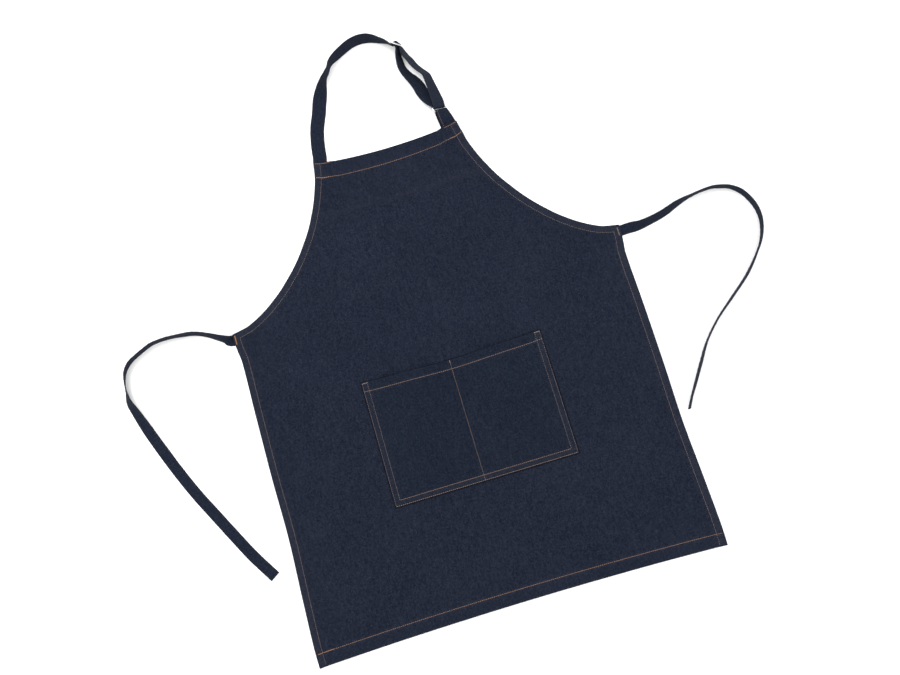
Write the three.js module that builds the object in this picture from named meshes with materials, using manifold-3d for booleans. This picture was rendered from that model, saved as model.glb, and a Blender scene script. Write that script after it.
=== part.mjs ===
// Denim bib apron, lying face up on a flat surface with its neck strap and waist ties spread out.
// Millimetres. X runs across the apron, Y from the hem to the neck, Z up from the surface.
// The origin is on that surface, below the middle of the waist.

import * as THREE from 'three';
import Module from 'manifold-3d';
import { mergeVertices } from 'three/addons/utils/BufferGeometryUtils.js';

const wasm = await Module();
wasm.setup();

// Clearance between pieces that touch on the real apron
const gap = 0.3;

// Body panel
const waistWidth = 685;
const hemWidth = 679;
const bibWidth = 262;
const bibHeight = 260;
const skirtLength = 560;
const waistSkew = 4.3;
const bibTopBow = 9;
const bottomBow = 7;
const clothThickness = 1;
const hemThickness = 2.4;
const sideHem = 10.5;
const bottomHem = 21.5;
const bibHem = 26.5;
const hemStep = 1.2;
const edgeRounding = 0.6;
const creaseBelowTop = 92;
const creaseWidth = 14;
const creaseHeight = 1.4;
const liftEase = 9;

// Patch pocket
const pocketWidth = 312;
const pocketHeight = 214;
const pocketBelowWaist = 139;
const pocketOffset = 2;
const pocketTopBow = 6;
const pocketFold = 10.5;
const pocketFoldThickness = 2;
const pocketHem = 16;
const pocketHemThickness = 2.2;
const pocketGape = 7;
const dividerWidth = 3;

// Neck strap, its tab, slider and ring
const strapWidth = 24.5;
const strapThickness = 1.8;
const strapBevel = 0.9;
const strapEndSetback = 4.5;
const strapInset = 0.3;
const loopHeight = 200;
const tabInset = 1.3;
const tabBackShift = 3.5;
const wireDiameter = 2.2;
const strapSideClearance = 1;
const ringBarSpacing = 8.2;
const ringCornerRadius = 2.2;
const ringLean = 148;
const ringHeading = -78;
const sliderBarSpacing = 9.5;
const sliderCornerRadius = 3;
const sliderLean = 110;
const sliderHeading = -37.5;
const sewnEndLength = 17;
const sewnTurn = 24;

// Waist ties
const tieWidth = 18.5;
const tieThickness = 1.8;
const tieEndLength = 15;
const foldShare = 0.2;
const tieBelowCorner = 10.3;
const leftTieReach = 198;
const leftTieDrop = 400;
const rightTieReach = 232;
const rightTieDrop = 340;

// Facets
const ribbonStep = 8;
const wireSides = 8;
const wrapStepAngle = 22;
const cornerSteps = 3;

const waistHalf = waistWidth / 2;
const hemHalf = hemWidth / 2;
const bibHalf = bibWidth / 2;
const wireRadius = wireDiameter / 2;
const wrapRadius = wireRadius + gap + strapThickness / 2;
const strapEndLength = bibHem - strapEndSetback;
const endReach = strapWidth + tabBackShift + tabInset;

// Armhole curve. up: share of the bib height above the waist.
// out: share of the way from the bib's half width to the waist's.
const armholeRows = [
  { up: 0.000, out: 1.000 },
  { up: 0.012, out: 0.925 },
  { up: 0.024, out: 0.868 },
  { up: 0.040, out: 0.825 },
  { up: 0.058, out: 0.780 },
  { up: 0.077, out: 0.739 },
  { up: 0.115, out: 0.667 },
  { up: 0.154, out: 0.605 },
  { up: 0.192, out: 0.548 },
  { up: 0.231, out: 0.498 },
  { up: 0.308, out: 0.407 },
  { up: 0.385, out: 0.329 },
  { up: 0.462, out: 0.263 },
  { up: 0.538, out: 0.202 },
  { up: 0.615, out: 0.151 },
  { up: 0.692, out: 0.107 },
  { up: 0.769, out: 0.070 },
  { up: 0.846, out: 0.039 },
  { up: 0.923, out: 0.015 },
  { up: 1.000, out: 0.000 },
];

// Side edges. down: share of the skirt length below the waist.
// tuck: share of the half width by which the edge bows in from a straight line.
const sideRows = [
  { down: 0.00, tuck: 0.000 },
  { down: 0.05, tuck: 0.004 },
  { down: 0.09, tuck: 0.012 },
  { down: 0.25, tuck: 0.010 },
  { down: 0.45, tuck: 0.010 },
  { down: 0.62, tuck: 0.014 },
  { down: 0.80, tuck: 0.005 },
  { down: 0.94, tuck: -0.001 },
  { down: 1.00, tuck: 0.001 },
];

// Neck strap from the bib's left corner over the top to the slider. across: share of the bib's half width.
// up: share of the loop height above the bib. lean: degrees from flat, past 90 where it leans inwards.
const strapRows = [
  { across: -0.897, up: 0.035, lean: 0 },
  { across: -0.882, up: 0.120, lean: 0 },
  { across: -0.862, up: 0.200, lean: 0 },
  { across: -0.820, up: 0.310, lean: 2 },
  { across: -0.745, up: 0.435, lean: 6 },
  { across: -0.690, up: 0.535, lean: 18 },
  { across: -0.622, up: 0.625, lean: 48 },
  { across: -0.569, up: 0.690, lean: 70 },
  { across: -0.517, up: 0.743, lean: 86 },
  { across: -0.460, up: 0.790, lean: 90 },
  { across: -0.429, up: 0.830, lean: 89 },
  { across: -0.385, up: 0.862, lean: 86 },
  { across: -0.305, up: 0.895, lean: 78 },
  { across: -0.183, up: 0.939, lean: 75 },
  { across: -0.061, up: 0.973, lean: 75 },
  { across: 0.061, up: 0.986, lean: 75 },
  { across: 0.168, up: 0.977, lean: 77 },
  { across: 0.260, up: 0.951, lean: 84 },
  { across: 0.336, up: 0.920, lean: 94 },
  { across: 0.412, up: 0.889, lean: 103 },
];

// Outer strand from the slider down to the ring. lift: share of the strap width that it is held up by.
const outerStrandRows = [
  { across: 0.598, up: 0.735, lean: 124, lift: 0 },
  { across: 0.637, up: 0.680, lean: 129, lift: 0 },
  { across: 0.679, up: 0.610, lean: 130, lift: 0 },
  { across: 0.725, up: 0.558, lean: 131, lift: 0 },
  { across: 0.771, up: 0.518, lean: 131, lift: 0 },
  { across: 0.798, up: 0.490, lean: 132, lift: 0 },
  { across: 0.808, up: 0.450, lean: 132, lift: 0 },
  { across: 0.816, up: 0.400, lean: 135, lift: 0.01 },
  { across: 0.827, up: 0.330, lean: 140, lift: 0.03 },
  { across: 0.835, up: 0.270, lean: 145, lift: 0.07 },
  { across: 0.841, up: 0.220, lean: 148, lift: 0.13 },
];

// Inner strand from the ring back up to the slider, under the outer one
const innerStrandRows = [
  { across: 0.795, up: 0.197, lean: 149, lift: 0.03 },
  { across: 0.750, up: 0.240, lean: 154, lift: 0.01 },
  { across: 0.708, up: 0.290, lean: 159, lift: 0 },
  { across: 0.676, up: 0.355, lean: 161, lift: 0 },
  { across: 0.656, up: 0.415, lean: 161, lift: 0 },
  { across: 0.613, up: 0.478, lean: 153, lift: 0 },
  { across: 0.570, up: 0.522, lean: 144, lift: 0 },
  { across: 0.537, up: 0.566, lean: 138, lift: 0 },
  { across: 0.514, up: 0.613, lean: 130, lift: 0 },
  { across: 0.511, up: 0.660, lean: 123, lift: 0 },
  { across: 0.514, up: 0.705, lean: 118, lift: 0 },
  { across: 0.521, up: 0.750, lean: 110, lift: 0.02 },
];

// Slider and ring centres, in the strap rows' shares
const sliderSeat = { across: 0.537, up: 0.822 };
const ringSeat = { across: 0.834, up: 0.1415 };

// Left tie. reach: share of its reach beyond the side. drop: share of its drop below its seat.
const leftTieRows = [
  { reach: 0.015, drop: -0.002, lean: 0 },
  { reach: 0.050, drop: -0.008, lean: 26 },
  { reach: 0.115, drop: -0.027, lean: 66 },
  { reach: 0.190, drop: -0.049, lean: 77 },
  { reach: 0.265, drop: -0.067, lean: 79 },
  { reach: 0.335, drop: -0.078, lean: 81 },
  { reach: 0.408, drop: -0.083, lean: 84 },
  { reach: 0.480, drop: -0.087, lean: 88 },
  { reach: 0.550, drop: -0.089, lean: 89 },
  { reach: 0.620, drop: -0.088, lean: 91 },
  { reach: 0.692, drop: -0.083, lean: 91 },
  { reach: 0.762, drop: -0.069, lean: 92 },
  { reach: 0.833, drop: -0.053, lean: 92 },
  { reach: 0.904, drop: -0.032, lean: 92 },
  { reach: 0.955, drop: 0.000, lean: 98 },
  { reach: 0.978, drop: 0.040, lean: 107 },
  { reach: 0.984, drop: 0.085, lean: 113 },
  { reach: 0.981, drop: 0.133, lean: 136 },
  { reach: 0.949, drop: 0.180, lean: 150 },
  { reach: 0.880, drop: 0.277, lean: 174 },
  { reach: 0.793, drop: 0.385, lean: 180 },
  { reach: 0.707, drop: 0.485, lean: 180 },
  { reach: 0.612, drop: 0.585, lean: 180 },
  { reach: 0.505, drop: 0.685, lean: 180 },
  { reach: 0.397, drop: 0.785, lean: 180 },
  { reach: 0.286, drop: 0.885, lean: 180 },
  { reach: 0.149, drop: 0.992, lean: 180 },
];

// Right tie, in the same terms
const rightTieRows = [
  { reach: 0.015, drop: 0.000, lean: 0 },
  { reach: 0.069, drop: 0.000, lean: 10 },
  { reach: 0.134, drop: 0.005, lean: 44 },
  { reach: 0.194, drop: 0.001, lean: 52 },
  { reach: 0.252, drop: -0.006, lean: 56 },
  { reach: 0.313, drop: -0.015, lean: 57 },
  { reach: 0.371, drop: -0.027, lean: 58 },
  { reach: 0.431, drop: -0.042, lean: 64 },
  { reach: 0.494, drop: -0.054, lean: 76 },
  { reach: 0.558, drop: -0.063, lean: 88 },
  { reach: 0.619, drop: -0.070, lean: 92 },
  { reach: 0.679, drop: -0.074, lean: 92 },
  { reach: 0.740, drop: -0.074, lean: 92 },
  { reach: 0.800, drop: -0.065, lean: 91 },
  { reach: 0.859, drop: -0.050, lean: 92 },
  { reach: 0.920, drop: -0.016, lean: 88 },
  { reach: 0.951, drop: 0.016, lean: 88 },
  { reach: 0.985, drop: 0.075, lean: 88 },
  { reach: 0.993, drop: 0.135, lean: 90 },
  { reach: 0.976, drop: 0.194, lean: 91 },
  { reach: 0.939, drop: 0.252, lean: 93 },
  { reach: 0.877, drop: 0.310, lean: 94 },
  { reach: 0.752, drop: 0.402, lean: 86 },
  { reach: 0.592, drop: 0.490, lean: 86 },
  { reach: 0.437, drop: 0.575, lean: 91 },
  { reach: 0.314, drop: 0.663, lean: 93 },
  { reach: 0.223, drop: 0.753, lean: 87 },
  { reach: 0.138, drop: 0.840, lean: 90 },
  { reach: 0.080, drop: 0.899, lean: 93 },
  { reach: 0.038, drop: 0.948, lean: 91 },
];

function radians(degrees) {
  return THREE.MathUtils.degToRad(degrees);
}

// Value of a table's column where its key column reaches a position, on straight lines between rows
function lookUp(rows, key, column, position) {
  const last = rows.length - 1;
  let i = 1;
  while (i < last && rows[i][key] < position) i += 1;
  const t = (position - rows[i - 1][key]) / (rows[i][key] - rows[i - 1][key]);
  return THREE.MathUtils.lerp(rows[i - 1][column], rows[i][column], t);
}

// 1 up to the full distance, easing to 0 at the end distance
function fade(distance, full, end) {
  return 1 - THREE.MathUtils.smoothstep(distance, full, end);
}

// Closed geometry from points and triangles, turned so that its faces point out
function closedGeometry(points, triangles) {
  let volume = 0;
  for (const [a, b, c] of triangles) {
    volume += points[a].dot(new THREE.Vector3().crossVectors(points[b], points[c]));
  }
  const index = triangles.flatMap(([a, b, c]) => (volume > 0 ? [a, b, c] : [a, c, b]));
  const geometry = new THREE.BufferGeometry();
  const positions = points.flatMap((p) => [p.x, p.y, p.z]);
  geometry.setAttribute('position', new THREE.Float32BufferAttribute(positions, 3));
  geometry.setIndex(index);
  return geometry;
}

// Wall between an upper and a lower grid of points with the same rows and columns
function wallGeometry(upper, lower) {
  const rows = upper.length;
  const columns = upper[0].length;
  const size = rows * columns;
  const triangles = [];
  const at = (row, column) => row * columns + column;
  for (let r = 0; r < rows - 1; r += 1) {
    for (let c = 0; c < columns - 1; c += 1) {
      const corners = [at(r, c), at(r, c + 1), at(r + 1, c + 1), at(r + 1, c)];
      triangles.push([corners[0], corners[1], corners[2]], [corners[0], corners[2], corners[3]]);
      const under = corners.map((corner) => corner + size);
      triangles.push([under[0], under[2], under[1]], [under[0], under[3], under[2]]);
    }
  }
  const rim = [];
  for (let c = 0; c < columns; c += 1) rim.push(at(0, c));
  for (let r = 1; r < rows; r += 1) rim.push(at(r, columns - 1));
  for (let c = columns - 2; c >= 0; c -= 1) rim.push(at(rows - 1, c));
  for (let r = rows - 2; r > 0; r -= 1) rim.push(at(r, 0));
  rim.forEach((corner, i) => {
    const next = rim[(i + 1) % rim.length];
    triangles.push([corner, corner + size, next], [next, corner + size, next + size]);
  });
  return closedGeometry([...upper.flat(), ...lower.flat()], triangles);
}

// Skin over a row of rings, capped at both ends, or joined end to end where it closes
function sweepGeometry(rings, closes) {
  const sides = rings[0].length;
  const count = rings.length;
  const triangles = [];
  const spans = closes ? count : count - 1;
  for (let r = 0; r < spans; r += 1) {
    const here = r * sides;
    const there = ((r + 1) % count) * sides;
    for (let s = 0; s < sides; s += 1) {
      const next = (s + 1) % sides;
      triangles.push([here + s, here + next, there + next], [here + s, there + next, there + s]);
    }
  }
  if (!closes) {
    const end = (count - 1) * sides;
    for (let s = 1; s < sides - 1; s += 1) {
      triangles.push([0, s + 1, s], [end, end + s, end + s + 1]);
    }
  }
  return closedGeometry(rings.flat(), triangles);
}

function toManifold(geometry) {
  const plain = geometry.clone();
  plain.deleteAttribute('normal');
  plain.deleteAttribute('uv');
  const merged = mergeVertices(plain);
  return new wasm.Manifold(new wasm.Mesh({
    numProp: 3,
    vertProperties: new Float32Array(merged.attributes.position.array),
    triVerts: new Uint32Array(merged.index.array),
  }));
}

function fromManifold(solid) {
  const mesh = solid.getMesh();
  const geometry = new THREE.BufferGeometry();
  geometry.setAttribute('position', new THREE.BufferAttribute(mesh.vertProperties, 3));
  geometry.setIndex(new THREE.BufferAttribute(mesh.triVerts, 1));
  return geometry;
}

// Body outline. side is -1 on the left and 1 on the right, y is counted from the waist before the skew.
function edgePoint(side, y) {
  if (y >= 0) {
    const up = y / bibHeight;
    const half = bibHalf + lookUp(armholeRows, 'up', 'out', up) * (waistHalf - bibHalf);
    return new THREE.Vector2(side * half, y - side * waistSkew * (1 - up) ** 2);
  }
  const down = -y / skirtLength;
  const straight = THREE.MathUtils.lerp(waistHalf, hemHalf, down);
  const half = straight * (1 - lookUp(sideRows, 'down', 'tuck', down));
  return new THREE.Vector2(side * half, y - side * waistSkew * (1 - down) ** 2);
}

// Point a distance inside the edge, squared up with both edges at the waist corner
function insetPoint(side, y, distance) {
  const reach = 1;
  const here = edgePoint(side, y);
  const above = edgePoint(side, Math.min(y + reach, bibHeight)).sub(here);
  const below = here.clone().sub(edgePoint(side, Math.max(y - reach, -skirtLength)));
  if (above.length() === 0) above.copy(below);
  if (below.length() === 0) below.copy(above);
  above.normalize();
  below.normalize();
  const along = above.clone().add(below).normalize();
  const inward = new THREE.Vector2(-side * along.y, side * along.x);
  return here.addScaledVector(inward, distance / above.dot(along));
}

// Height that the panel is held up by the strap, tab and tie ends sewn behind it, at a point of a level
function endLift({ x, y }, level) {
  const side = Math.sign(x);
  const layers = side < 0 ? 1 : 2;
  const atStrap = fade(bibHalf - Math.abs(x), endReach, endReach + liftEase)
    * fade(bibHeight - level, bibHem, bibHem + liftEase);
  const corner = edgePoint(side, 0);
  const below = corner.y - y;
  const inside = Math.abs(corner.x) - Math.abs(x);
  const band = tieBelowCorner + tieWidth / 2 + gap;
  const atTie = fade(inside, endReach, endReach + liftEase)
    * fade(-below, 0, liftEase) * fade(below, band, band + liftEase);
  return atStrap * layers * (strapThickness + gap) + atTie * (tieThickness + gap);
}

// Low ridge that a folded apron keeps across its bib
function creaseLift(y) {
  const distance = Math.abs(bibHeight - creaseBelowTop - y);
  return creaseHeight * fade(distance, 0, creaseWidth / 2);
}

function buildBodyPanel() {
  const skirtLevels = [
    -skirtLength,
    -skirtLength + edgeRounding,
    -skirtLength + bottomHem,
    -skirtLength + bottomHem + hemStep,
  ];
  const skirtShares = [0.88, 0.80, 0.71, 0.62, 0.53, 0.45, 0.36, 0.30, 0.25, 0.19, 0.14, 0.09];
  const belowTie = tieBelowCorner + tieWidth / 2 + gap;
  const crease = bibHeight - creaseBelowTop;
  const topLevels = [
    bibHeight - bibHem - liftEase,
    bibHeight - bibHem - hemStep,
    bibHeight - bibHem,
    bibHeight - edgeRounding,
    bibHeight,
  ];
  const armholeLevels = armholeRows.map((row) => row.up * bibHeight);
  const levels = [
    ...skirtLevels,
    ...skirtShares.map((share) => -share * skirtLength),
    -belowTie - liftEase,
    -belowTie,
    ...armholeLevels.filter((y) => y < topLevels[0] - liftEase && Math.abs(y - crease) > creaseWidth),
    crease - creaseWidth / 2,
    crease,
    crease + creaseWidth / 2,
    ...topLevels,
  ].sort((a, b) => a - b);
  const hemDistances = [0, edgeRounding, sideHem, sideHem + hemStep];
  const endColumn = endReach - sideHem - hemStep;
  const fieldShares = [0.1, 0.22, 0.35];

  const upper = [];
  const lower = [];
  for (const y of levels) {
    const left = hemDistances.map((distance) => insetPoint(-1, y, distance));
    const right = hemDistances.map((distance) => insetPoint(1, y, distance));
    const [from, to] = [left[left.length - 1], right[right.length - 1]];
    const near = [endColumn, endColumn + liftEase].map((distance) => distance / (to.x - from.x));
    const field = fieldShares.map((share) => THREE.MathUtils.lerp(near[1], 0.5, share / 0.5));
    const half = [...near, ...field];
    const inner = [...half, 0.5, ...half.slice().reverse().map((share) => 1 - share)];
    const points = [...left, ...inner.map((share) => from.clone().lerp(to, share)), ...right.reverse()];
    const fromBottom = y + skirtLength;
    const fromTop = bibHeight - y;
    const count = points.length;
    upper.push([]);
    lower.push([]);
    points.forEach((point, i) => {
      const place = Math.min(i, count - 1 - i);
      const inHem = place <= 2 || fromBottom <= bottomHem || fromTop <= bibHem;
      const atRim = place === 0 || fromBottom === 0 || fromTop === 0;
      const spread = THREE.MathUtils.clamp(point.x / (y > 0 ? bibHalf : hemHalf), -1, 1);
      const hollow = 1 - spread * spread;
      const topSag = bibTopBow * hollow * fade(fromTop, bibHem, bibHeight * 0.6);
      const bottomRise = bottomBow * hollow * fade(fromBottom, bottomHem, skirtLength * 0.4);
      const base = endLift(point, y) + creaseLift(y);
      const thickness = inHem ? hemThickness : clothThickness;
      const rounding = atRim ? edgeRounding : 0;
      const across = point.y - topSag + bottomRise;
      upper[upper.length - 1].push(new THREE.Vector3(point.x, across, base + thickness - rounding));
      lower[lower.length - 1].push(new THREE.Vector3(point.x, across, base + (atRim ? rounding / 2 : 0)));
    });
  }
  return wallGeometry(upper, lower);
}

// Pocket patch: folded edges sewn down on three sides, a divider, and two mouths that stand a little open
function buildPocket() {
  const half = pocketWidth / 2;
  const innerHalf = half - pocketFold - hemStep;
  const pin = dividerWidth / 2;
  const compartmentShares = [0.16, 0.33, 0.5, 0.67, 0.84];
  const compartment = compartmentShares.map((share) => THREE.MathUtils.lerp(innerHalf, pin, share));
  const rightColumns = [half, half - edgeRounding, half - pocketFold, innerHalf, ...compartment, pin];
  const columns = [...rightColumns.map((x) => -x), ...rightColumns.slice().reverse()];
  const bottomHeights = [0, edgeRounding, pocketFold, pocketFold + hemStep];
  const fieldHeights = [0.2, 0.36, 0.52, 0.68, 0.8].map((share) => share * pocketHeight);
  const topHeights = [pocketHem + hemStep, pocketHem, edgeRounding, 0].map((drop) => pocketHeight - drop);
  const heights = [...bottomHeights, ...fieldHeights, ...topHeights];
  const seat = clothThickness + gap;
  const bottom = -pocketBelowWaist - pocketHeight;

  const upper = [];
  const lower = [];
  for (const height of heights) {
    const upperRow = [];
    const lowerRow = [];
    for (const x of columns) {
      const away = Math.abs(x);
      const atFold = away >= half - pocketFold || height <= pocketFold;
      const atHem = height >= pocketHeight - pocketHem;
      const atRim = away === half || height === 0 || height === pocketHeight;
      const atDivider = away <= pin;
      const share = THREE.MathUtils.clamp((innerHalf - away) / (innerHalf - pin), 0, 1);
      const rise = Math.max(height - pocketFold, 0) / (pocketHeight - pocketFold);
      const gape = pocketGape * Math.sin(Math.PI * share) ** 2 * rise;
      let thickness = clothThickness;
      if (atHem) thickness = pocketHemThickness;
      if (atFold) thickness = atHem ? pocketHemThickness : pocketFoldThickness;
      const layer = Math.max(pocketFoldThickness, thickness);
      const topHeight = seat + (atDivider && !atHem && !atFold ? clothThickness : layer) + gape;
      const rounding = atRim ? edgeRounding : 0;
      const sag = pocketTopBow * (1 - (x / half) ** 2) * rise * rise;
      const y = bottom + height - sag;
      upperRow.push(new THREE.Vector3(x + pocketOffset, y, topHeight - rounding));
      lowerRow.push(new THREE.Vector3(x + pocketOffset, y, topHeight - thickness));
    }
    upper.push(upperRow);
    lower.push(lowerRow);
  }
  return wallGeometry(upper, lower);
}

// Height of a strip's centre when its low edge touches the surface
function groundHeight(width, thickness, lean) {
  return width / 2 * Math.abs(Math.sin(radians(lean))) + thickness / 2 * Math.abs(Math.cos(radians(lean)));
}

// Frame of a fitting that a strap passes through: along the strap, across it and out of its face
function seatFrame(seat, heading, lean, width, depth) {
  const angle = radians(heading);
  const along = new THREE.Vector3(Math.cos(angle), Math.sin(angle), 0);
  const left = new THREE.Vector3(-Math.sin(angle), Math.cos(angle), 0);
  const across = left.multiplyScalar(Math.cos(radians(lean))).setZ(Math.sin(radians(lean)));
  const out = new THREE.Vector3().crossVectors(across, along);
  const height = width / 2 * across.z + depth * Math.abs(out.z);
  const at = new THREE.Vector3(seat.across * bibHalf, bibHeight + seat.up * loopHeight, height);
  return { at, along, across, out };
}

function framePoint(frame, along, out) {
  return frame.at.clone().addScaledVector(frame.along, along).addScaledVector(frame.out, out);
}

const fittingWidth = strapWidth + 2 * (strapSideClearance + wireDiameter);
const sliderFrame = seatFrame(sliderSeat, sliderHeading, sliderLean, fittingWidth - wireDiameter, wireRadius);
sliderFrame.at.z += wireRadius;
const ringFrame = seatFrame(ringSeat, ringHeading, ringLean, strapWidth, wrapRadius + strapThickness / 2);
ringFrame.at.z += gap;

// Turn of a strip's centre round a bar of a fitting. Angles are degrees in the frame, from along to out.
function turnSections(frame, bar, radius, start, end) {
  const steps = Math.max(1, Math.ceil(Math.abs(end - start) / wrapStepAngle));
  const sections = [];
  for (let i = 0; i <= steps; i += 1) {
    const angle = radians(THREE.MathUtils.lerp(start, end, i / steps));
    const at = framePoint(frame, bar + radius * Math.cos(angle), radius * Math.sin(angle));
    sections.push({ at, across: frame.across });
  }
  return sections;
}

// Sections of a strip from table rows. outward is 1 where its outer side is on the left of its way, else -1.
function rowSections(rows, place, width, thickness, outward) {
  return rows.map((row) => {
    const [x, y] = place(row);
    const z = groundHeight(width, thickness, row.lean) + (row.lift ?? 0) * width;
    return { at: new THREE.Vector3(x, y, z), lean: row.lean, outward };
  });
}

// Gives each section without one its direction across, from the way's heading and its lean
function completeSections(sections) {
  return sections.map((section, i) => {
    if (section.across) return section;
    const before = sections[Math.max(i - 1, 0)].at;
    const after = sections[Math.min(i + 1, sections.length - 1)].at;
    const heading = after.clone().sub(before).setZ(0).normalize();
    const outer = new THREE.Vector3(-heading.y, heading.x, 0).multiplyScalar(section.outward);
    const lean = radians(section.lean);
    const across = outer.multiplyScalar(Math.cos(lean)).setZ(Math.sin(lean));
    return { at: section.at, across };
  });
}

// Folded strip of cloth along its sections, with a bevelled edge on each side, kept on the surface
function stripGeometry(sections, width, thickness) {
  const whole = completeSections(sections);
  const path = new THREE.CatmullRomCurve3(whole.map((section) => section.at));
  const spans = whole.length - 1;
  const stations = [];
  for (let i = 0; i < spans; i += 1) {
    const steps = Math.max(1, Math.round(whole[i].at.distanceTo(whole[i + 1].at) / ribbonStep));
    for (let s = 0; s < steps; s += 1) stations.push({ i, share: s / steps });
  }
  stations.push({ i: spans - 1, share: 1 });
  const edge = 0.5 - strapBevel / width;
  const profile = [[-0.5, 0], [-edge, -0.5], [edge, -0.5], [0.5, 0], [edge, 0.5], [-edge, 0.5]];
  const rings = stations.map(({ i, share }) => {
    const at = path.getPoint((i + share) / spans);
    const along = path.getTangent((i + share) / spans);
    const across = whole[i].across.clone().lerp(whole[i + 1].across, share);
    across.addScaledVector(along, -across.dot(along)).normalize();
    const face = new THREE.Vector3().crossVectors(along, across);
    const ring = profile.map(([u, v]) => at.clone()
      .addScaledVector(across, u * width)
      .addScaledVector(face, v * thickness));
    const lowest = Math.min(...ring.map((point) => point.z));
    const raise = Math.max(0, -lowest);
    return ring.map((point) => point.setZ(point.z + raise));
  });
  return sweepGeometry(rings, false);
}

function strapPlace(row) {
  return [row.across * bibHalf, bibHeight + row.up * loopHeight];
}

// Under the slider's first bar, over its middle bar and the end sewn there, and under its last bar
function weaveSections() {
  const overRadius = wrapRadius + strapThickness + 2 * gap;
  const climb = THREE.MathUtils.radToDeg(Math.asin((wrapRadius + overRadius) / sliderBarSpacing));
  return [
    ...turnSections(sliderFrame, -sliderBarSpacing, wrapRadius, -105, climb - 90),
    ...turnSections(sliderFrame, 0, overRadius, 90 + climb, 90 - climb),
    ...turnSections(sliderFrame, sliderBarSpacing, wrapRadius, -90 - climb, -130),
  ];
}

// The strap's end after its turn round the slider's middle bar, laid against the strand that it is sewn to
function sewnEndSections() {
  const turn = radians(sewnTurn);
  const sewnOffset = wrapRadius - strapThickness - gap;
  return [0.25, 0.55, 1].map((share) => {
    const side = THREE.MathUtils.lerp(-wrapRadius, sewnOffset, Math.min(1, 2 * share));
    const down = share * sewnEndLength;
    const along = side * Math.cos(turn) + down * Math.sin(turn);
    const out = side * Math.sin(turn) - down * Math.cos(turn);
    return { at: framePoint(sliderFrame, along, out), across: sliderFrame.across };
  });
}

function buildNeckStrap() {
  const endX = -(bibHalf - strapWidth / 2) - strapInset;
  const flat = strapThickness / 2;
  const across = new THREE.Vector3(-1, 0, 0);
  const hiddenEnd = [strapEndLength, 0].map((drop) => (
    { at: new THREE.Vector3(endX, bibHeight - drop, flat), across }
  ));
  return stripGeometry([
    ...hiddenEnd,
    ...rowSections(strapRows, strapPlace, strapWidth, strapThickness, 1),
    ...weaveSections(),
    ...rowSections(outerStrandRows, strapPlace, strapWidth, strapThickness, 1),
    ...turnSections(ringFrame, -ringBarSpacing / 2, wrapRadius, 90, -90),
    ...rowSections(innerStrandRows, strapPlace, strapWidth, strapThickness, -1),
    ...turnSections(sliderFrame, 0, wrapRadius, sewnTurn, sewnTurn + 180),
    ...sewnEndSections(),
  ], strapWidth, strapThickness);
}

// Both layers of the tab run side by side behind the bib's hem and part round the ring
function buildStrapTab() {
  const frontX = bibHalf - strapWidth / 2 - tabInset;
  const layers = [
    { x: frontX - tabBackShift, z: strapThickness / 2 },
    { x: frontX, z: strapThickness * 1.5 + gap },
  ];
  const flat = new THREE.Vector3(-1, 0, 0);
  const between = flat.clone().add(ringFrame.across).normalize();
  const round = turnSections(ringFrame, ringBarSpacing / 2, wrapRadius, 270, 90);
  const [back, front] = layers.map(({ x, z }, i) => {
    const edge = new THREE.Vector3(x, bibHeight, z);
    const ringEnd = i === 0 ? round[0].at : round[round.length - 1].at;
    const sewn = [1, foldShare, 0].map((share) => (
      { at: edge.clone().setY(bibHeight - share * strapEndLength), across: flat }
    ));
    return [...sewn, { at: edge.clone().lerp(ringEnd, 0.5), across: between }];
  });
  return stripGeometry([...back, ...round, ...front.reverse()], strapWidth, strapThickness);
}

// Round wire bent to a rectangle with round corners, in a fitting's along and across directions
function wireLoop(frame, halfAlong, halfAcross, cornerRadius) {
  const rings = [];
  const corners = [[1, 1, 0], [-1, 1, 90], [-1, -1, 180], [1, -1, 270]];
  for (const [a, b, start] of corners) {
    for (let i = 0; i <= cornerSteps; i += 1) {
      const angle = radians(start + 90 * i / cornerSteps);
      const outward = new THREE.Vector3()
        .addScaledVector(frame.along, Math.cos(angle))
        .addScaledVector(frame.across, Math.sin(angle));
      const centre = frame.at.clone()
        .addScaledVector(frame.along, a * (halfAlong - cornerRadius))
        .addScaledVector(frame.across, b * (halfAcross - cornerRadius))
        .addScaledVector(outward, cornerRadius);
      rings.push(wireRing(centre, outward, frame.out));
    }
  }
  return sweepGeometry(rings, true);
}

function wireRing(centre, first, second) {
  const ring = [];
  for (let s = 0; s < wireSides; s += 1) {
    const angle = 2 * Math.PI * (s + 0.5) / wireSides;
    ring.push(centre.clone()
      .addScaledVector(first, wireRadius * Math.cos(angle))
      .addScaledVector(second, wireRadius * Math.sin(angle)));
  }
  return ring;
}

const fittingHalf = (fittingWidth - wireDiameter) / 2;

function buildStrapRing() {
  return wireLoop(ringFrame, ringBarSpacing / 2, fittingHalf, ringCornerRadius);
}

function buildStrapSlider() {
  const loop = wireLoop(sliderFrame, sliderBarSpacing, fittingHalf, sliderCornerRadius);
  const ends = [-1, 1].map((end) => wireRing(
    sliderFrame.at.clone().addScaledVector(sliderFrame.across, end * fittingHalf),
    sliderFrame.along,
    sliderFrame.out,
  ));
  const middleBar = sweepGeometry(ends, false);
  return fromManifold(toManifold(loop).add(toManifold(middleBar)));
}

function buildWaistTie(side, rows, reach, drop) {
  const corner = edgePoint(side, 0);
  const seatY = corner.y - tieBelowCorner;
  const across = new THREE.Vector3(0, 1, 0);
  const sewn = [1, foldShare].map((share) => (
    { at: new THREE.Vector3(corner.x - side * share * tieEndLength, seatY, tieThickness / 2), across }
  ));
  const place = (row) => [corner.x + side * row.reach * reach, seatY - row.drop * drop];
  return stripGeometry([
    ...sewn,
    ...rowSections(rows, place, tieWidth, tieThickness, side),
  ], tieWidth, tieThickness);
}

const denimColour = 0x272c3a;
const steelColour = 0xc9ccd0;

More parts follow.
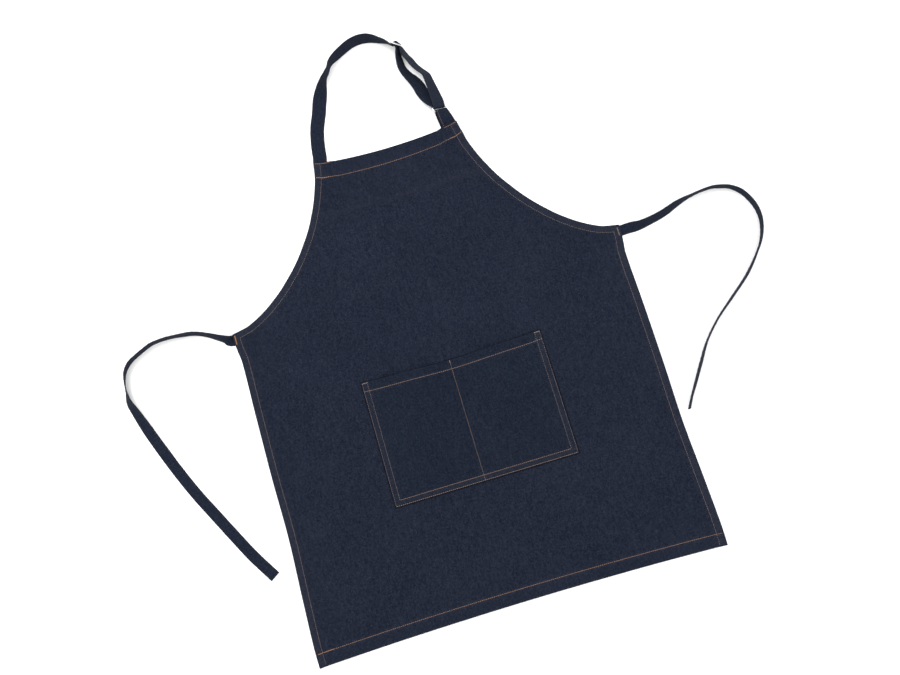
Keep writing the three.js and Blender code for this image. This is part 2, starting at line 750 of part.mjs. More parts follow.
function piece(name, geometry, colour, roughness, metalness) {
  const flat = geometry.toNonIndexed();
  flat.computeVertexNormals();
  const material = new THREE.MeshStandardMaterial({ color: colour, roughness, metalness });
  const mesh = new THREE.Mesh(flat, material);
  mesh.name = name;
  return mesh;
}

function clothPiece(name, geometry) {
  return piece(name, geometry, denimColour, 0.9, 0);
}

function metalPiece(name, geometry) {
  return piece(name, geometry, steelColour, 0.25, 1);
}

const apron = new THREE.Group();
apron.add(clothPiece('body_panel', buildBodyPanel()));
apron.add(clothPiece('pocket', buildPocket()));
apron.add(clothPiece('neck_strap', buildNeckStrap()));
apron.add(clothPiece('strap_tab', buildStrapTab()));
apron.add(metalPiece('strap_slider', buildStrapSlider()));
apron.add(metalPiece('strap_ring', buildStrapRing()));
apron.add(clothPiece('waist_tie_left', buildWaistTie(-1, leftTieRows, leftTieReach, leftTieDrop)));
apron.add(clothPiece('waist_tie_right', buildWaistTie(1, rightTieRows, rightTieReach, rightTieDrop)));

export default apron;
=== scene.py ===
"""Denim bib apron lying face up on a pale floor: cloth, straps, stitching and metal fittings.

Lengths are in metres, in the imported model's frame: X across the apron, Y from hem to neck, Z up.
"""

import logging
import math
from collections.abc import Callable, Sequence
from dataclasses import dataclass, field
from enum import Enum
from typing import NamedTuple

import bmesh
import bpy
from mathutils import Matrix, Vector, noise


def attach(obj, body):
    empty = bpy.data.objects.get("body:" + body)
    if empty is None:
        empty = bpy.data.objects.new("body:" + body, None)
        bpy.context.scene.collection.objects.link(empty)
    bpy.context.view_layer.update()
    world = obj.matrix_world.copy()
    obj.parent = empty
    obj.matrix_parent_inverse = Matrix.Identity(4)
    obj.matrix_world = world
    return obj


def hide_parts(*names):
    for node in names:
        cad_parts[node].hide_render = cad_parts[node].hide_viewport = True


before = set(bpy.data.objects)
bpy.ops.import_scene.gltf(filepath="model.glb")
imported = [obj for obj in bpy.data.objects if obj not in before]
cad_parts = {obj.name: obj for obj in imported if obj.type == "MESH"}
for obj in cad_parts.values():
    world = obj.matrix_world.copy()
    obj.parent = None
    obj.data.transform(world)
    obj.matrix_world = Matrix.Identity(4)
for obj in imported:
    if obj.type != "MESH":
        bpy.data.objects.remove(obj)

log = logging.getLogger("apron")

Colour = tuple[float, float, float, float]
UP = Vector((0.0, 0.0, 1.0))

# Sizes of the bib and of the neck strap's loop above it
BIB_WIDTH = 0.262
BIB_HALF = BIB_WIDTH / 2
BIB_HEIGHT = 0.260
LOOP_HEIGHT = 0.200

# Groove along a row of stitches, thread of the strips' rows, and pitch of the twill's ribs
GROOVE_WIDTH = 0.0016
STRIP_THREAD_RADIUS = 0.00028
RIB_PITCH = 0.00075


class EdgeRow(NamedTuple):
    """One row of an outline table: a share of the way along, and the value there."""

    along: float
    value: float


class PathRow(NamedTuple):
    """One row of a strip's way.

    Across and up are shares of its reach, the lean is in degrees and the lift is in strap widths.
    """

    across: float
    up: float
    lean: float
    lift: float = 0.0


# Armhole curve: share of the bib height above the waist, share of the way out from bib to waist
ARMHOLE = tuple(EdgeRow(*row) for row in (
    (0.000, 1.000), (0.012, 0.925), (0.024, 0.868), (0.040, 0.825), (0.058, 0.780), (0.077, 0.739),
    (0.115, 0.667), (0.154, 0.605), (0.192, 0.548), (0.231, 0.498), (0.308, 0.407), (0.385, 0.329),
    (0.462, 0.263), (0.538, 0.202), (0.615, 0.151), (0.692, 0.107), (0.769, 0.070), (0.846, 0.039),
    (0.923, 0.015), (1.000, 0.000),
))

# Side edge: share of the skirt length below the waist, share of the half width that it bows in
SIDE = tuple(EdgeRow(*row) for row in (
    (0.00, 0.000), (0.05, 0.004), (0.09, 0.012), (0.25, 0.010), (0.45, 0.010), (0.62, 0.014),
    (0.80, 0.005), (0.94, -0.001), (1.00, 0.001),
))

STRAP_WAY = tuple(PathRow(*row) for row in (
    (-0.897, 0.035, 0), (-0.882, 0.120, 0), (-0.862, 0.200, 0), (-0.820, 0.310, 2),
    (-0.745, 0.435, 6),
    (-0.690, 0.535, 18), (-0.622, 0.625, 48), (-0.569, 0.690, 70), (-0.517, 0.743, 86),
    (-0.460, 0.790, 90), (-0.429, 0.830, 89), (-0.385, 0.862, 86), (-0.305, 0.895, 78),
    (-0.183, 0.939, 75), (-0.061, 0.973, 75), (0.061, 0.986, 75), (0.168, 0.977, 77),
    (0.260, 0.951, 84), (0.336, 0.920, 94), (0.412, 0.889, 103),
))

OUTER_STRAND = tuple(PathRow(*row) for row in (
    (0.598, 0.735, 124), (0.637, 0.680, 129), (0.679, 0.610, 130), (0.725, 0.558, 131),
    (0.771, 0.518, 131), (0.798, 0.490, 132), (0.808, 0.450, 132), (0.816, 0.400, 135, 0.01),
    (0.827, 0.330, 140, 0.03), (0.835, 0.270, 145, 0.07), (0.841, 0.220, 148, 0.13),
))

INNER_STRAND = tuple(PathRow(*row) for row in (
    (0.795, 0.197, 149, 0.03), (0.750, 0.240, 154, 0.01), (0.708, 0.290, 159), (0.676, 0.355, 161),
    (0.656, 0.415, 161), (0.613, 0.478, 153), (0.570, 0.522, 144), (0.537, 0.566, 138),
    (0.514, 0.613, 130), (0.511, 0.660, 123), (0.514, 0.705, 118), (0.521, 0.750, 110, 0.02),
))

LEFT_TIE = tuple(PathRow(*row) for row in (
    (0.015, -0.002, 0), (0.036, -0.004, 30), (0.066, -0.013, 55), (0.115, -0.027, 64),
    (0.190, -0.049, 74),
    (0.265, -0.067, 79), (0.335, -0.078, 81), (0.408, -0.083, 84), (0.480, -0.087, 88),
    (0.550, -0.089, 89), (0.620, -0.088, 91), (0.692, -0.083, 91), (0.762, -0.069, 92),
    (0.833, -0.053, 92), (0.904, -0.032, 92), (0.955, 0.000, 98), (0.978, 0.040, 107),
    (0.984, 0.085, 113), (0.981, 0.133, 136), (0.949, 0.180, 150), (0.880, 0.277, 174),
    (0.793, 0.385, 180), (0.707, 0.485, 180), (0.612, 0.585, 180), (0.505, 0.685, 180),
    (0.397, 0.785, 180), (0.286, 0.885, 180), (0.149, 0.992, 180),
))

RIGHT_TIE = tuple(PathRow(*row) for row in (
    (0.015, 0.000, 0), (0.069, 0.000, 10), (0.134, 0.005, 44), (0.194, 0.001, 52),
    (0.252, -0.006, 56),
    (0.313, -0.015, 57), (0.371, -0.027, 58), (0.431, -0.042, 64), (0.494, -0.054, 76),
    (0.558, -0.063, 88), (0.619, -0.070, 92), (0.679, -0.074, 92), (0.740, -0.074, 92),
    (0.800, -0.065, 91), (0.859, -0.050, 92), (0.920, -0.016, 88), (0.951, 0.016, 88),
    (0.985, 0.075, 88), (0.993, 0.135, 90), (0.976, 0.194, 91), (0.939, 0.252, 93),
    (0.877, 0.310, 94),
    (0.752, 0.402, 86), (0.592, 0.490, 86), (0.437, 0.575, 91), (0.314, 0.663, 93),
    (0.223, 0.753, 87),
    (0.138, 0.840, 90), (0.080, 0.899, 93), (0.038, 0.948, 91),
))


def smoothstep(value: float, low: float, high: float) -> float:
    """Ease from 0 at the low value to 1 at the high one."""
    t = min(max((value - low) / (high - low), 0.0), 1.0)
    return t * t * (3.0 - 2.0 * t)


def fade(distance: float, full: float, end: float) -> float:
    """1 up to the full distance, easing to 0 at the end distance."""
    return 1.0 - smoothstep(distance, full, end)


def ridge(distance: float, width: float) -> float:
    """Bell curve of height 1 at distance 0, about as wide as the given width."""
    return math.exp(-4.0 * (distance / width) ** 2)


def rounded_edge(rim: float, radius: float) -> float:
    """Share of the cloth's thickness that is left at a distance inside its rim."""
    if rim >= radius:
        return 1.0
    return max(0.3, math.sqrt(1 - (1 - rim / radius) ** 2))


def standing_height(width: float, thickness: float, lean: float) -> float:
    """Height of a strip's middle when it stands on the floor with a lean in degrees."""
    angle = math.radians(lean)
    return width / 2 * abs(math.sin(angle)) + thickness / 2 * abs(math.cos(angle))


def loop_place(across: float, up: float, z: float) -> Vector:
    """Place in the neck loop, from shares of the bib's half width and of the loop's height."""
    return Vector((across * BIB_HALF, BIB_HEIGHT + up * LOOP_HEIGHT, z))


def look_up(rows: Sequence[EdgeRow], along: float) -> float:
    """Value of an outline table at a share of the way, on a smooth curve through its rows.

    Args:
        rows: the table.
        along: the share of the way.

    Returns:
        The value there.
    """
    last = len(rows) - 1
    i = 1
    while i < last and rows[i].along < along:
        i += 1
    before, after = rows[i - 1], rows[i]
    span = after.along - before.along
    slope = (after.value - before.value) / span
    slopes = [slope, slope]
    if i > 1:
        first = rows[i - 2]
        slopes[0] = (after.value - first.value) / (after.along - first.along)
    if i < last:
        end = rows[i + 1]
        slopes[1] = (end.value - before.value) / (end.along - before.along)
    t = (along - before.along) / span
    return (
        before.value * (1 + 2 * t) * (1 - t) ** 2
        + slopes[0] * span * t * (1 - t) ** 2
        + after.value * t * t * (3 - 2 * t)
        + slopes[1] * span * t * t * (t - 1)
    )


def swell(x: float, y: float) -> float:
    """Height that the cloth stands off the floor, in low broad waves and small ripples."""
    broad = noise.noise(Vector((x * 6.5, y * 5.0, 1.7)))
    ripple = noise.noise(Vector((x * 24.0, y * 15.0, 4.1)))
    return max(0.0, 0.0009 * (1.0 + 1.2 * broad) + 0.00022 * ripple)


def add_object(name: str, data: bpy.types.ID) -> bpy.types.Object:
    """Add an object with the given data to the scene."""
    item = bpy.data.objects.new(name, data)
    bpy.context.scene.collection.objects.link(item)
    return item


def new_piece(name: str, bm: bmesh.types.BMesh) -> bpy.types.Object:
    """Turn a bmesh into a smooth-shaded object of the scene.

    Args:
        name: the piece's name.
        bm: the finished bmesh, which is freed.

    Returns:
        The new object, at the origin.
    """
    mesh = bpy.data.meshes.new(name)
    bm.to_mesh(mesh)
    bm.free()
    mesh.polygons.foreach_set("use_smooth", [True] * len(mesh.polygons))
    return add_object(name, mesh)


class GridPlace(NamedTuple):
    """Where a grid point goes, and how worn the cloth is there."""

    at: Vector
    wear: float


def grid_index(co: Vector, columns: int, rows: int) -> tuple[int, int]:
    """Column and row of a vertex of a fresh grid of half size 1."""
    return round((co.x + 1) / 2 * (columns - 1)), round((co.y + 1) / 2 * (rows - 1))


def cloth_wall(
    name: str, columns: int, rows: int, place: Callable[[int, int, bool], GridPlace]
) -> bpy.types.Object:
    """Make a closed sheet of cloth from a grid whose two faces are placed point by point.

    Args:
        name: the piece's name.
        columns: points across.
        rows: points along.
        place: gives a point's place from its column, its row and whether it is on the upper face.

    Returns:
        The sheet.
    """
    bm = bmesh.new()
    worn = bm.verts.layers.float.new("wear")
    bmesh.ops.create_grid(bm, x_segments=columns - 1, y_segments=rows - 1, size=1.0)
    lower = list(bm.verts)
    made = bmesh.ops.extrude_face_region(bm, geom=list(bm.faces), use_keep_orig=True)
    upper = [item for item in made["geom"] if isinstance(item, bmesh.types.BMVert)]
    for verts, above in ((lower, False), (upper, True)):
        for vert in verts:
            spot = place(*grid_index(vert.co, columns, rows), above)
            vert[worn] = spot.wear
            vert.co = spot.at
    bmesh.ops.recalc_face_normals(bm, faces=list(bm.faces))
    return new_piece(name, bm)


class RowLook(NamedTuple):
    """How a row of stitches shows: its share of a full thread's thickness, and how faded it is."""

    thick: float
    faded: float


FULL_ROW = RowLook(1.0, 0.32)
BACK_STITCHED = RowLook(1.15, 0.14)
SIDE_ROW = RowLook(0.60, 0.80)
MOUTH_ROW = RowLook(1.05, 0.55)
PATCH_ROW = RowLook(0.95, 0.55)
PATCH_SIDE_ROW = RowLook(0.50, 0.75)
DIVIDER_ROW = RowLook(0.66, 0.60)
UNDER_HEM_ROW = RowLook(0.45, 0.85)
STRIP_ROW = RowLook(0.80, 0.0)
TAB_ROW = RowLook(0.68, 0.55)
BAR = RowLook(0.80, 0.0)
GREY_BAR = RowLook(0.62, 0.85)


class Stitch(NamedTuple):
    """One stitch: its middle, its direction, the cloth's normal there and its row's look."""

    at: Vector
    along: Vector
    normal: Vector
    look: RowLook


@dataclass
class Seam:
    """Sewing thread: rows of separate stitches, each a short thread that dips in at both ends."""

    name: str
    pitch: float = 0.0034
    length: float = 0.0029
    radius: float = 0.00034
    proud: float = 0.40
    sides: int = 6
    rings: int = 4
    bar_step: float = 1.9
    batch: int = 40
    stitches: list[Stitch] = field(default_factory=list)

    def sew(
        self, way: Sequence[Vector], look: RowLook = FULL_ROW,
        normals: Sequence[Vector] | None = None,
    ) -> None:
        """Add a row of stitches along a way, without those that would lie in the floor.

        Args:
            way: points on the cloth's surface.
            look: how the row shows.
            normals: the cloth's normal at each, or None where it faces up.
        """
        left = self.pitch / 2
        for i in range(len(way) - 1):
            span = way[i + 1] - way[i]
            size = span.length
            while left <= size:
                normal = UP if normals is None else normals[i]
                direction = span / size
                at = way[i] + direction * left
                if at.z > self.radius:
                    self.stitches.append(Stitch(at, direction, normal, look))
                left += self.pitch
            left -= size

    def tack(
        self, centre: Vector, along: Vector, length: float, width: float, look: RowLook
    ) -> None:
        """Add a bar tack: close stitches side by side.

        Args:
            centre: the bar's middle on the cloth.
            along: direction of the bar.
            length: the bar's length.
            width: length of its stitches, across the bar.
            look: how the bar shows.
        """
        direction = along.normalized()
        side = UP.cross(direction).normalized()
        count = max(2, round(length / (self.radius * self.bar_step)))
        for i in range(count):
            shift = (i / (count - 1) - 0.5) * length
            slant = direction * (self.radius * (1 if i % 2 else -1))
            reach = (side * width + slant) / self.length
            self.stitches.append(Stitch(centre + direction * shift, reach, UP, look))

    def build(self) -> bpy.types.Object:
        """Make all the stitches as one piece.

        Returns:
            The thread's object.
        """
        whole = bmesh.new()
        for first in range(0, len(self.stitches), self.batch):
            bm = bmesh.new()
            faded = bm.verts.layers.float.new("faded")
            for stitch in self.stitches[first:first + self.batch]:
                for vert in self.form(bm, stitch):
                    vert[faded] = stitch.look.faded
            part = bpy.data.meshes.new("batch")
            bm.to_mesh(part)
            bm.free()
            whole.from_mesh(part)
            bpy.data.meshes.remove(part)
        return new_piece(self.name, whole)

    def form(self, bm: bmesh.types.BMesh, stitch: Stitch) -> list[bmesh.types.BMVert]:
        """Add one stitch, lying on the cloth with its ends sunk in, and give back its vertices."""
        direction = stitch.along.normalized()
        side = stitch.normal.cross(direction).normalized()
        over = direction.cross(side)
        reach = self.length / 2 * max(stitch.along.length, 0.2)
        radius = self.radius * stitch.look.thick
        shape = Matrix((side * radius, over * radius, direction * reach)).transposed().to_4x4()
        shape.translation = stitch.at + over * (radius * self.proud)
        made = bmesh.ops.create_uvsphere(
            bm, u_segments=self.sides, v_segments=self.rings, radius=1.0, matrix=shape
        )
        return made["verts"]


class Column(NamedTuple):
    """A column of the panel's grid: a distance inside a side edge, or a share of the way across."""

    side: int
    inside: float
    share: float


@dataclass
class BodyPanel:
    """Bib and skirt in one panel, hemmed all round."""

    waist_width: float = 0.685
    hem_width: float = 0.679
    bib_width: float = BIB_WIDTH
    bib_height: float = BIB_HEIGHT
    skirt_length: float = 0.560
    waist_skew: float = 0.0043
    bib_top_bow: float = 0.009
    bottom_bow: float = 0.007
    thickness: float = 0.001
    hem_thickness: float = 0.0024
    side_hems: tuple[float, float] = (0.0120, 0.0128)
    bottom_hem: float = 0.0215
    bib_hem: float = 0.0265
    edge_radius: float = 0.0012
    crease_below_top: float = 0.092
    crease_width: float = 0.014
    crease_height: float = 0.0014
    lift_ease: float = 0.009
    strap_layer: float = 0.0021
    end_reach: float = 0.0293
    tie_band: float = 0.01985
    stitches_inside: tuple[float, float] = (0.0113, 0.0121)
    bib_row_slant: float = 0.0022
    bottom_row_slant: float = -0.0006
    row_from_fold: float = 0.0008
    row_from_edge: float = 0.0025
    pucker_pitch: float = 0.0093
    pucker_slant: float = 0.021
    pucker_height: float = 0.00022
    groove_depth: float = 0.0005
    row_step: float = 0.0031
    field_columns: int = 118

    def __post_init__(self) -> None:
        """Lay out the grid's levels and columns."""
        edge = (0.0, 0.00015, 0.0005, 0.0012)
        near_seam = (-0.0018, -0.0009, 0.0, 0.0009, 0.0019, 0.0031)
        left, right = (
            [
                *edge, *(share * seam for share in (0.26, 0.44, 0.62)),
                *(seam + shift for shift in near_seam),
            ]
            for seam in self.stitches_inside
        )
        self.inner = {-1: left[-1], 1: right[-1]}
        self.columns = [Column(-1, inside, 0.0) for inside in left]
        count = self.field_columns
        self.columns += [Column(0, 0.0, i / count) for i in range(1, count)]
        self.columns += [Column(1, inside, 1.0) for inside in reversed(right)]
        bottom = [
            *edge, 0.003, 0.006, 0.009, 0.012, 0.015, 0.018, 0.0199, 0.0207, 0.0215, 0.0225, 0.0236,
        ]
        top = [
            *edge, 0.003, 0.006, 0.010, 0.014, 0.018, 0.022, 0.0249, 0.0257, 0.0265, 0.0275, 0.0286,
        ]
        low, high = -self.skirt_length + bottom[-1], self.bib_height - top[-1]
        below = [-i * self.row_step for i in range(1, int(-low / self.row_step))]
        above = [i * self.row_step for i in range(1, int(high / self.row_step))]
        self.levels = sorted([
            *(-self.skirt_length + d for d in bottom), *below, 0.0, *above,
            *(self.bib_height - d for d in top),
        ])
        self.lengths = {side: self.edge_lengths(side) for side in (-1, 1)}

    def edge_point(self, side: int, y: float) -> Vector:
        """Point of the outline on one side, at a height from the waist before the skew."""
        bib_half = self.bib_width / 2
        if y >= 0:
            up = min(y / self.bib_height, 1.0)
            half = bib_half + look_up(ARMHOLE, up) * (self.waist_width / 2 - bib_half)
            return Vector((side * half, y - side * self.waist_skew * (1 - up) ** 2))
        down = -y / self.skirt_length
        straight = self.waist_width / 2 + (self.hem_width - self.waist_width) / 2 * down
        half = straight * (1 - look_up(SIDE, down))
        return Vector((side * half, y - side * self.waist_skew * (1 - down) ** 2))

    def mitred_point(self, side: int, y: float, distance: float) -> Vector:
        """Point a distance inside the edge, squared up with both edges at the waist corner."""
        reach = 0.001
        here = self.edge_point(side, y)
        above = self.edge_point(side, min(y + reach, self.bib_height)) - here
        below = here - self.edge_point(side, max(y - reach, -self.skirt_length))
        if above.length == 0:
            above = below.copy()
        if below.length == 0:
            below = above.copy()
        above.normalize()
        below.normalize()
        along = (above + below).normalized()
        inward = Vector((-side * along.y, side * along.x))
        return here + inward * (distance / above.dot(along))

    def inset_point(self, side: int, y: float, distance: float) -> Vector:
        """Point a distance inside the edge, with even rows up to the waist corner."""
        if -self.tie_band < y < 0:
            low = self.mitred_point(side, -self.tie_band, distance)
            return low.lerp(self.mitred_point(side, 0.0, distance), 1 + y / self.tie_band)
        return self.mitred_point(side, y, distance)

    def edge_lengths(self, side: int) -> list[float]:
        """Length of the side edge from the bottom up to each level."""
        lengths = [0.0]
        for before, after in zip(self.levels, self.levels[1:]):
            step = (self.edge_point(side, after) - self.edge_point(side, before)).length
            lengths.append(lengths[-1] + step)
        return lengths

    def bowed(self, point: Vector, y: float) -> Vector:
        """A point after the bows of the bib's top and the bottom edge, and their rows' slant."""
        half = (self.bib_width if y > 0 else self.hem_width) / 2
        spread = min(max(point.x / half, -1.0), 1.0)
        hollow = 1 - spread * spread
        from_top, from_bottom = self.bib_height - y, y + self.skirt_length
        sag = self.bib_top_bow * hollow * fade(from_top, self.bib_hem, self.bib_height * 0.6)
        rise = self.bottom_bow * hollow
        rise *= fade(from_bottom, self.bottom_hem, self.skirt_length * 0.4)
        slant = self.bib_row_slant * ridge(from_top - self.bib_hem, 0.02)
        slant += self.bottom_row_slant * ridge(from_bottom - self.bottom_hem, 0.016)
        return Vector((point.x, point.y - sag + rise + slant * spread))

    def lift(self, point: Vector, level: float) -> float:
        """Height that the strap, tab and tie ends behind the panel hold it up, with its crease."""
        side = -1 if point.x < 0 else 1
        layers = 1 if side < 0 else 2
        reach_end = self.end_reach + self.lift_ease
        from_side = self.bib_width / 2 - abs(point.x)
        at_strap = fade(from_side, self.end_reach, reach_end) * fade(
            self.bib_height - level, self.bib_hem, self.bib_hem + self.lift_ease
        )
        corner = self.edge_point(side, 0.0)
        below = corner.y - point.y
        at_tie = fade(abs(corner.x) - abs(point.x), self.end_reach, reach_end)
        at_tie *= fade(-below, 0.0, self.lift_ease)
        at_tie *= fade(below, self.tie_band, self.tie_band + self.lift_ease)
        from_crease = abs(self.bib_height - self.crease_below_top - level)
        crease = fade(from_crease, 0.0, self.crease_width / 2)
        return (at_strap * layers + at_tie) * self.strap_layer + crease * self.crease_height

    def surface(
        self, flat: Vector, level: float, inside: float, run: float, above: bool
    ) -> GridPlace:
        """Place of a grid point on one face of the cloth.

        Args:
            flat: the point in plan, before the bows.
            level: its level, from the waist.
            inside: its distance inside the nearer side edge, large in the field.
            run: length along the side edge, for the puckers of the hem.
            above: whether it is on the upper face.

        Returns:
            The place and the wear there.
        """
        from_bottom = level + self.skirt_length
        from_top = self.bib_height - level
        spot = self.bowed(flat, level)
        sewn = 0 if flat.x < 0 else 1
        hems = (
            (inside, self.side_hems[sewn], self.stitches_inside[sewn], run),
            (from_bottom, self.bottom_hem, self.bottom_hem - self.row_from_fold, spot.x),
            (from_top, self.bib_hem, self.bib_hem - self.row_from_fold, spot.x),
        )
        inside_end = self.stitches_inside[sewn] + 0.001
        folded, pucker, groove, wear = 0.0, 0.0, 0.0, 0.0
        for distance, width, seam, way in hems:
            folded = max(folded, fade(distance, width + 0.0002, width + 0.0019))
            rope = math.sin(
                2 * math.pi * (way / self.pucker_pitch + distance / self.pucker_slant)
                + 2.2 * noise.noise(Vector((way * 31.0, width * 900.0, 0.5)))
            )
            near = ridge(distance - seam, 0.011) * (1.0 if distance < seam else 0.6)
            pucker += rope * near
            groove = max(groove, ridge(distance - seam, GROOVE_WIDTH))
            at_seam = (0.25 + 0.2 * rope) * ridge(distance - seam, 0.006)
            wear = max(wear, 0.55 * ridge(distance, 0.0022), at_seam)
        band = fade(inside, self.stitches_inside[sewn], inside_end)
        wear = max(wear, (0.26 + 0.1 * pucker) * band)
        wear = max(wear, 0.15 * ridge(from_top - self.crease_below_top, 0.012))
        thickness = self.thickness + (self.hem_thickness - self.thickness) * folded
        base = self.lift(flat, level) + swell(spot.x, spot.y)
        middle = base + thickness / 2
        half = thickness / 2 * rounded_edge(min(inside, from_bottom, from_top), self.edge_radius)
        if above:
            z = middle + half + (self.pucker_height * pucker - self.groove_depth * groove)
        else:
            z = middle - half
        return GridPlace(Vector((spot.x, spot.y, z)), wear)

    def place(self, i: int, j: int, above: bool) -> GridPlace:
        """Place of the grid point in column i and row j."""
        column, level = self.columns[i], self.levels[j]
        if column.side:
            return self.surface(
                self.inset_point(column.side, level, column.inside), level, column.inside,
                self.lengths[column.side][j], above,
            )
        left, right = self.inner_ends[j]
        return self.surface(left.lerp(right, column.share), level, 1.0, 0.0, above)

    def side_way(self, side: int, inside: float, low: float, high: float) -> list[Vector]:
        """Points on the upper face along one side, a distance inside its edge."""
        way = []
        for j, level in enumerate(self.levels):
            if low <= level <= high:
                flat = self.inset_point(side, level, inside)
                way.append(self.surface(flat, level, inside, self.lengths[side][j], True).at)
        return way

    def cross_way(self, level: float, start: float, end: float, steps: int = 120) -> list[Vector]:
        """Points on the upper face across the panel at a level, between two shares of its width."""
        width = self.edge_point(1, level).x - self.edge_point(-1, level).x
        left, right = (self.inset_point(side, level, self.inner[side]) for side in (-1, 1))
        way = []
        for i in range(steps + 1):
            share = start + (end - start) * i / steps
            side = -1 if share < 0.5 else 1
            inside = min(share, 1 - share) * width
            if inside < self.inner[side]:
                flat = self.inset_point(side, level, inside)
            else:
                between = (share * width - self.inner[-1]) / (width - sum(self.inner.values()))
                flat = left.lerp(right, between)
                inside = 1.0
            way.append(self.surface(flat, level, inside, 0.0, True).at)
        return way

    def build(self) -> bpy.types.Object:
        """Make the panel.

        Returns:
            The cloth's object.
        """
        self.inner_ends = [
            tuple(self.inset_point(side, level, self.inner[side]) for side in (-1, 1))
            for level in self.levels
        ]
        return cloth_wall("body_cloth", len(self.columns), len(self.levels), self.place)

    def sew(self) -> bpy.types.Object:
        """Make the panel's stitching: hem rows and the bar tacks that hold the strap, tab and ties.

        Returns:
            The thread's object.
        """
        thread = Seam("body_stitching")
        bottom = -self.skirt_length + self.bottom_hem - self.row_from_fold
        top = self.bib_height - self.bib_hem + self.row_from_fold
        lowest = self.row_from_edge - self.skirt_length
        highest = self.bib_height - self.row_from_edge
        for side, inside in zip((-1, 1), self.stitches_inside):
            for low, high, look in (
                (bottom, top, SIDE_ROW), (top, highest, UNDER_HEM_ROW),
                (lowest, bottom, UNDER_HEM_ROW),
            ):
                thread.sew(self.side_way(side, inside, low, high), look)
        thread.sew(self.cross_way(bottom, 0.004, 0.996, 240))
        thread.sew(self.cross_way(top, 0.010, 0.990))
        nudge = Vector((0.0012, 0.0005, 0.0001))
        for level, start, end in ((top, 0.004, 0.086), (top, 0.905, 0.996), (bottom, 0.004, 0.045)):
            row = self.cross_way(level, start, end, 12)
            thread.sew([point + nudge for point in row], BACK_STITCHED)
        for start, end in ((0.010, 0.113), (0.905, 0.988)):
            thread.sew(self.cross_way(self.bib_height - 0.0024, start, end, 12), BACK_STITCHED)
        self.tack_tie(thread, -1, 0.0034, 0.0150, BAR)
        self.tack_tie(thread, 1, 0.0046, 0.0138, GREY_BAR)
        return thread.build()

    def tack_tie(
        self, thread: Seam, side: int, inside: float, length: float, look: RowLook
    ) -> None:
        """Sew the bar tack that holds a tie at the waist corner.

        Args:
            thread: the seam that it joins.
            side: the panel's side.
            inside: the bar's distance inside the edge.
            length: the bar's length.
            look: how the bar shows.
        """
        level = -self.tie_band / 2
        spot = self.surface(self.inset_point(side, level, inside), level, inside, 0.0, True).at
        thread.tack(spot + UP * 0.0001, Vector((0.0, 1.0, 0.0)), length, 0.0022, look)


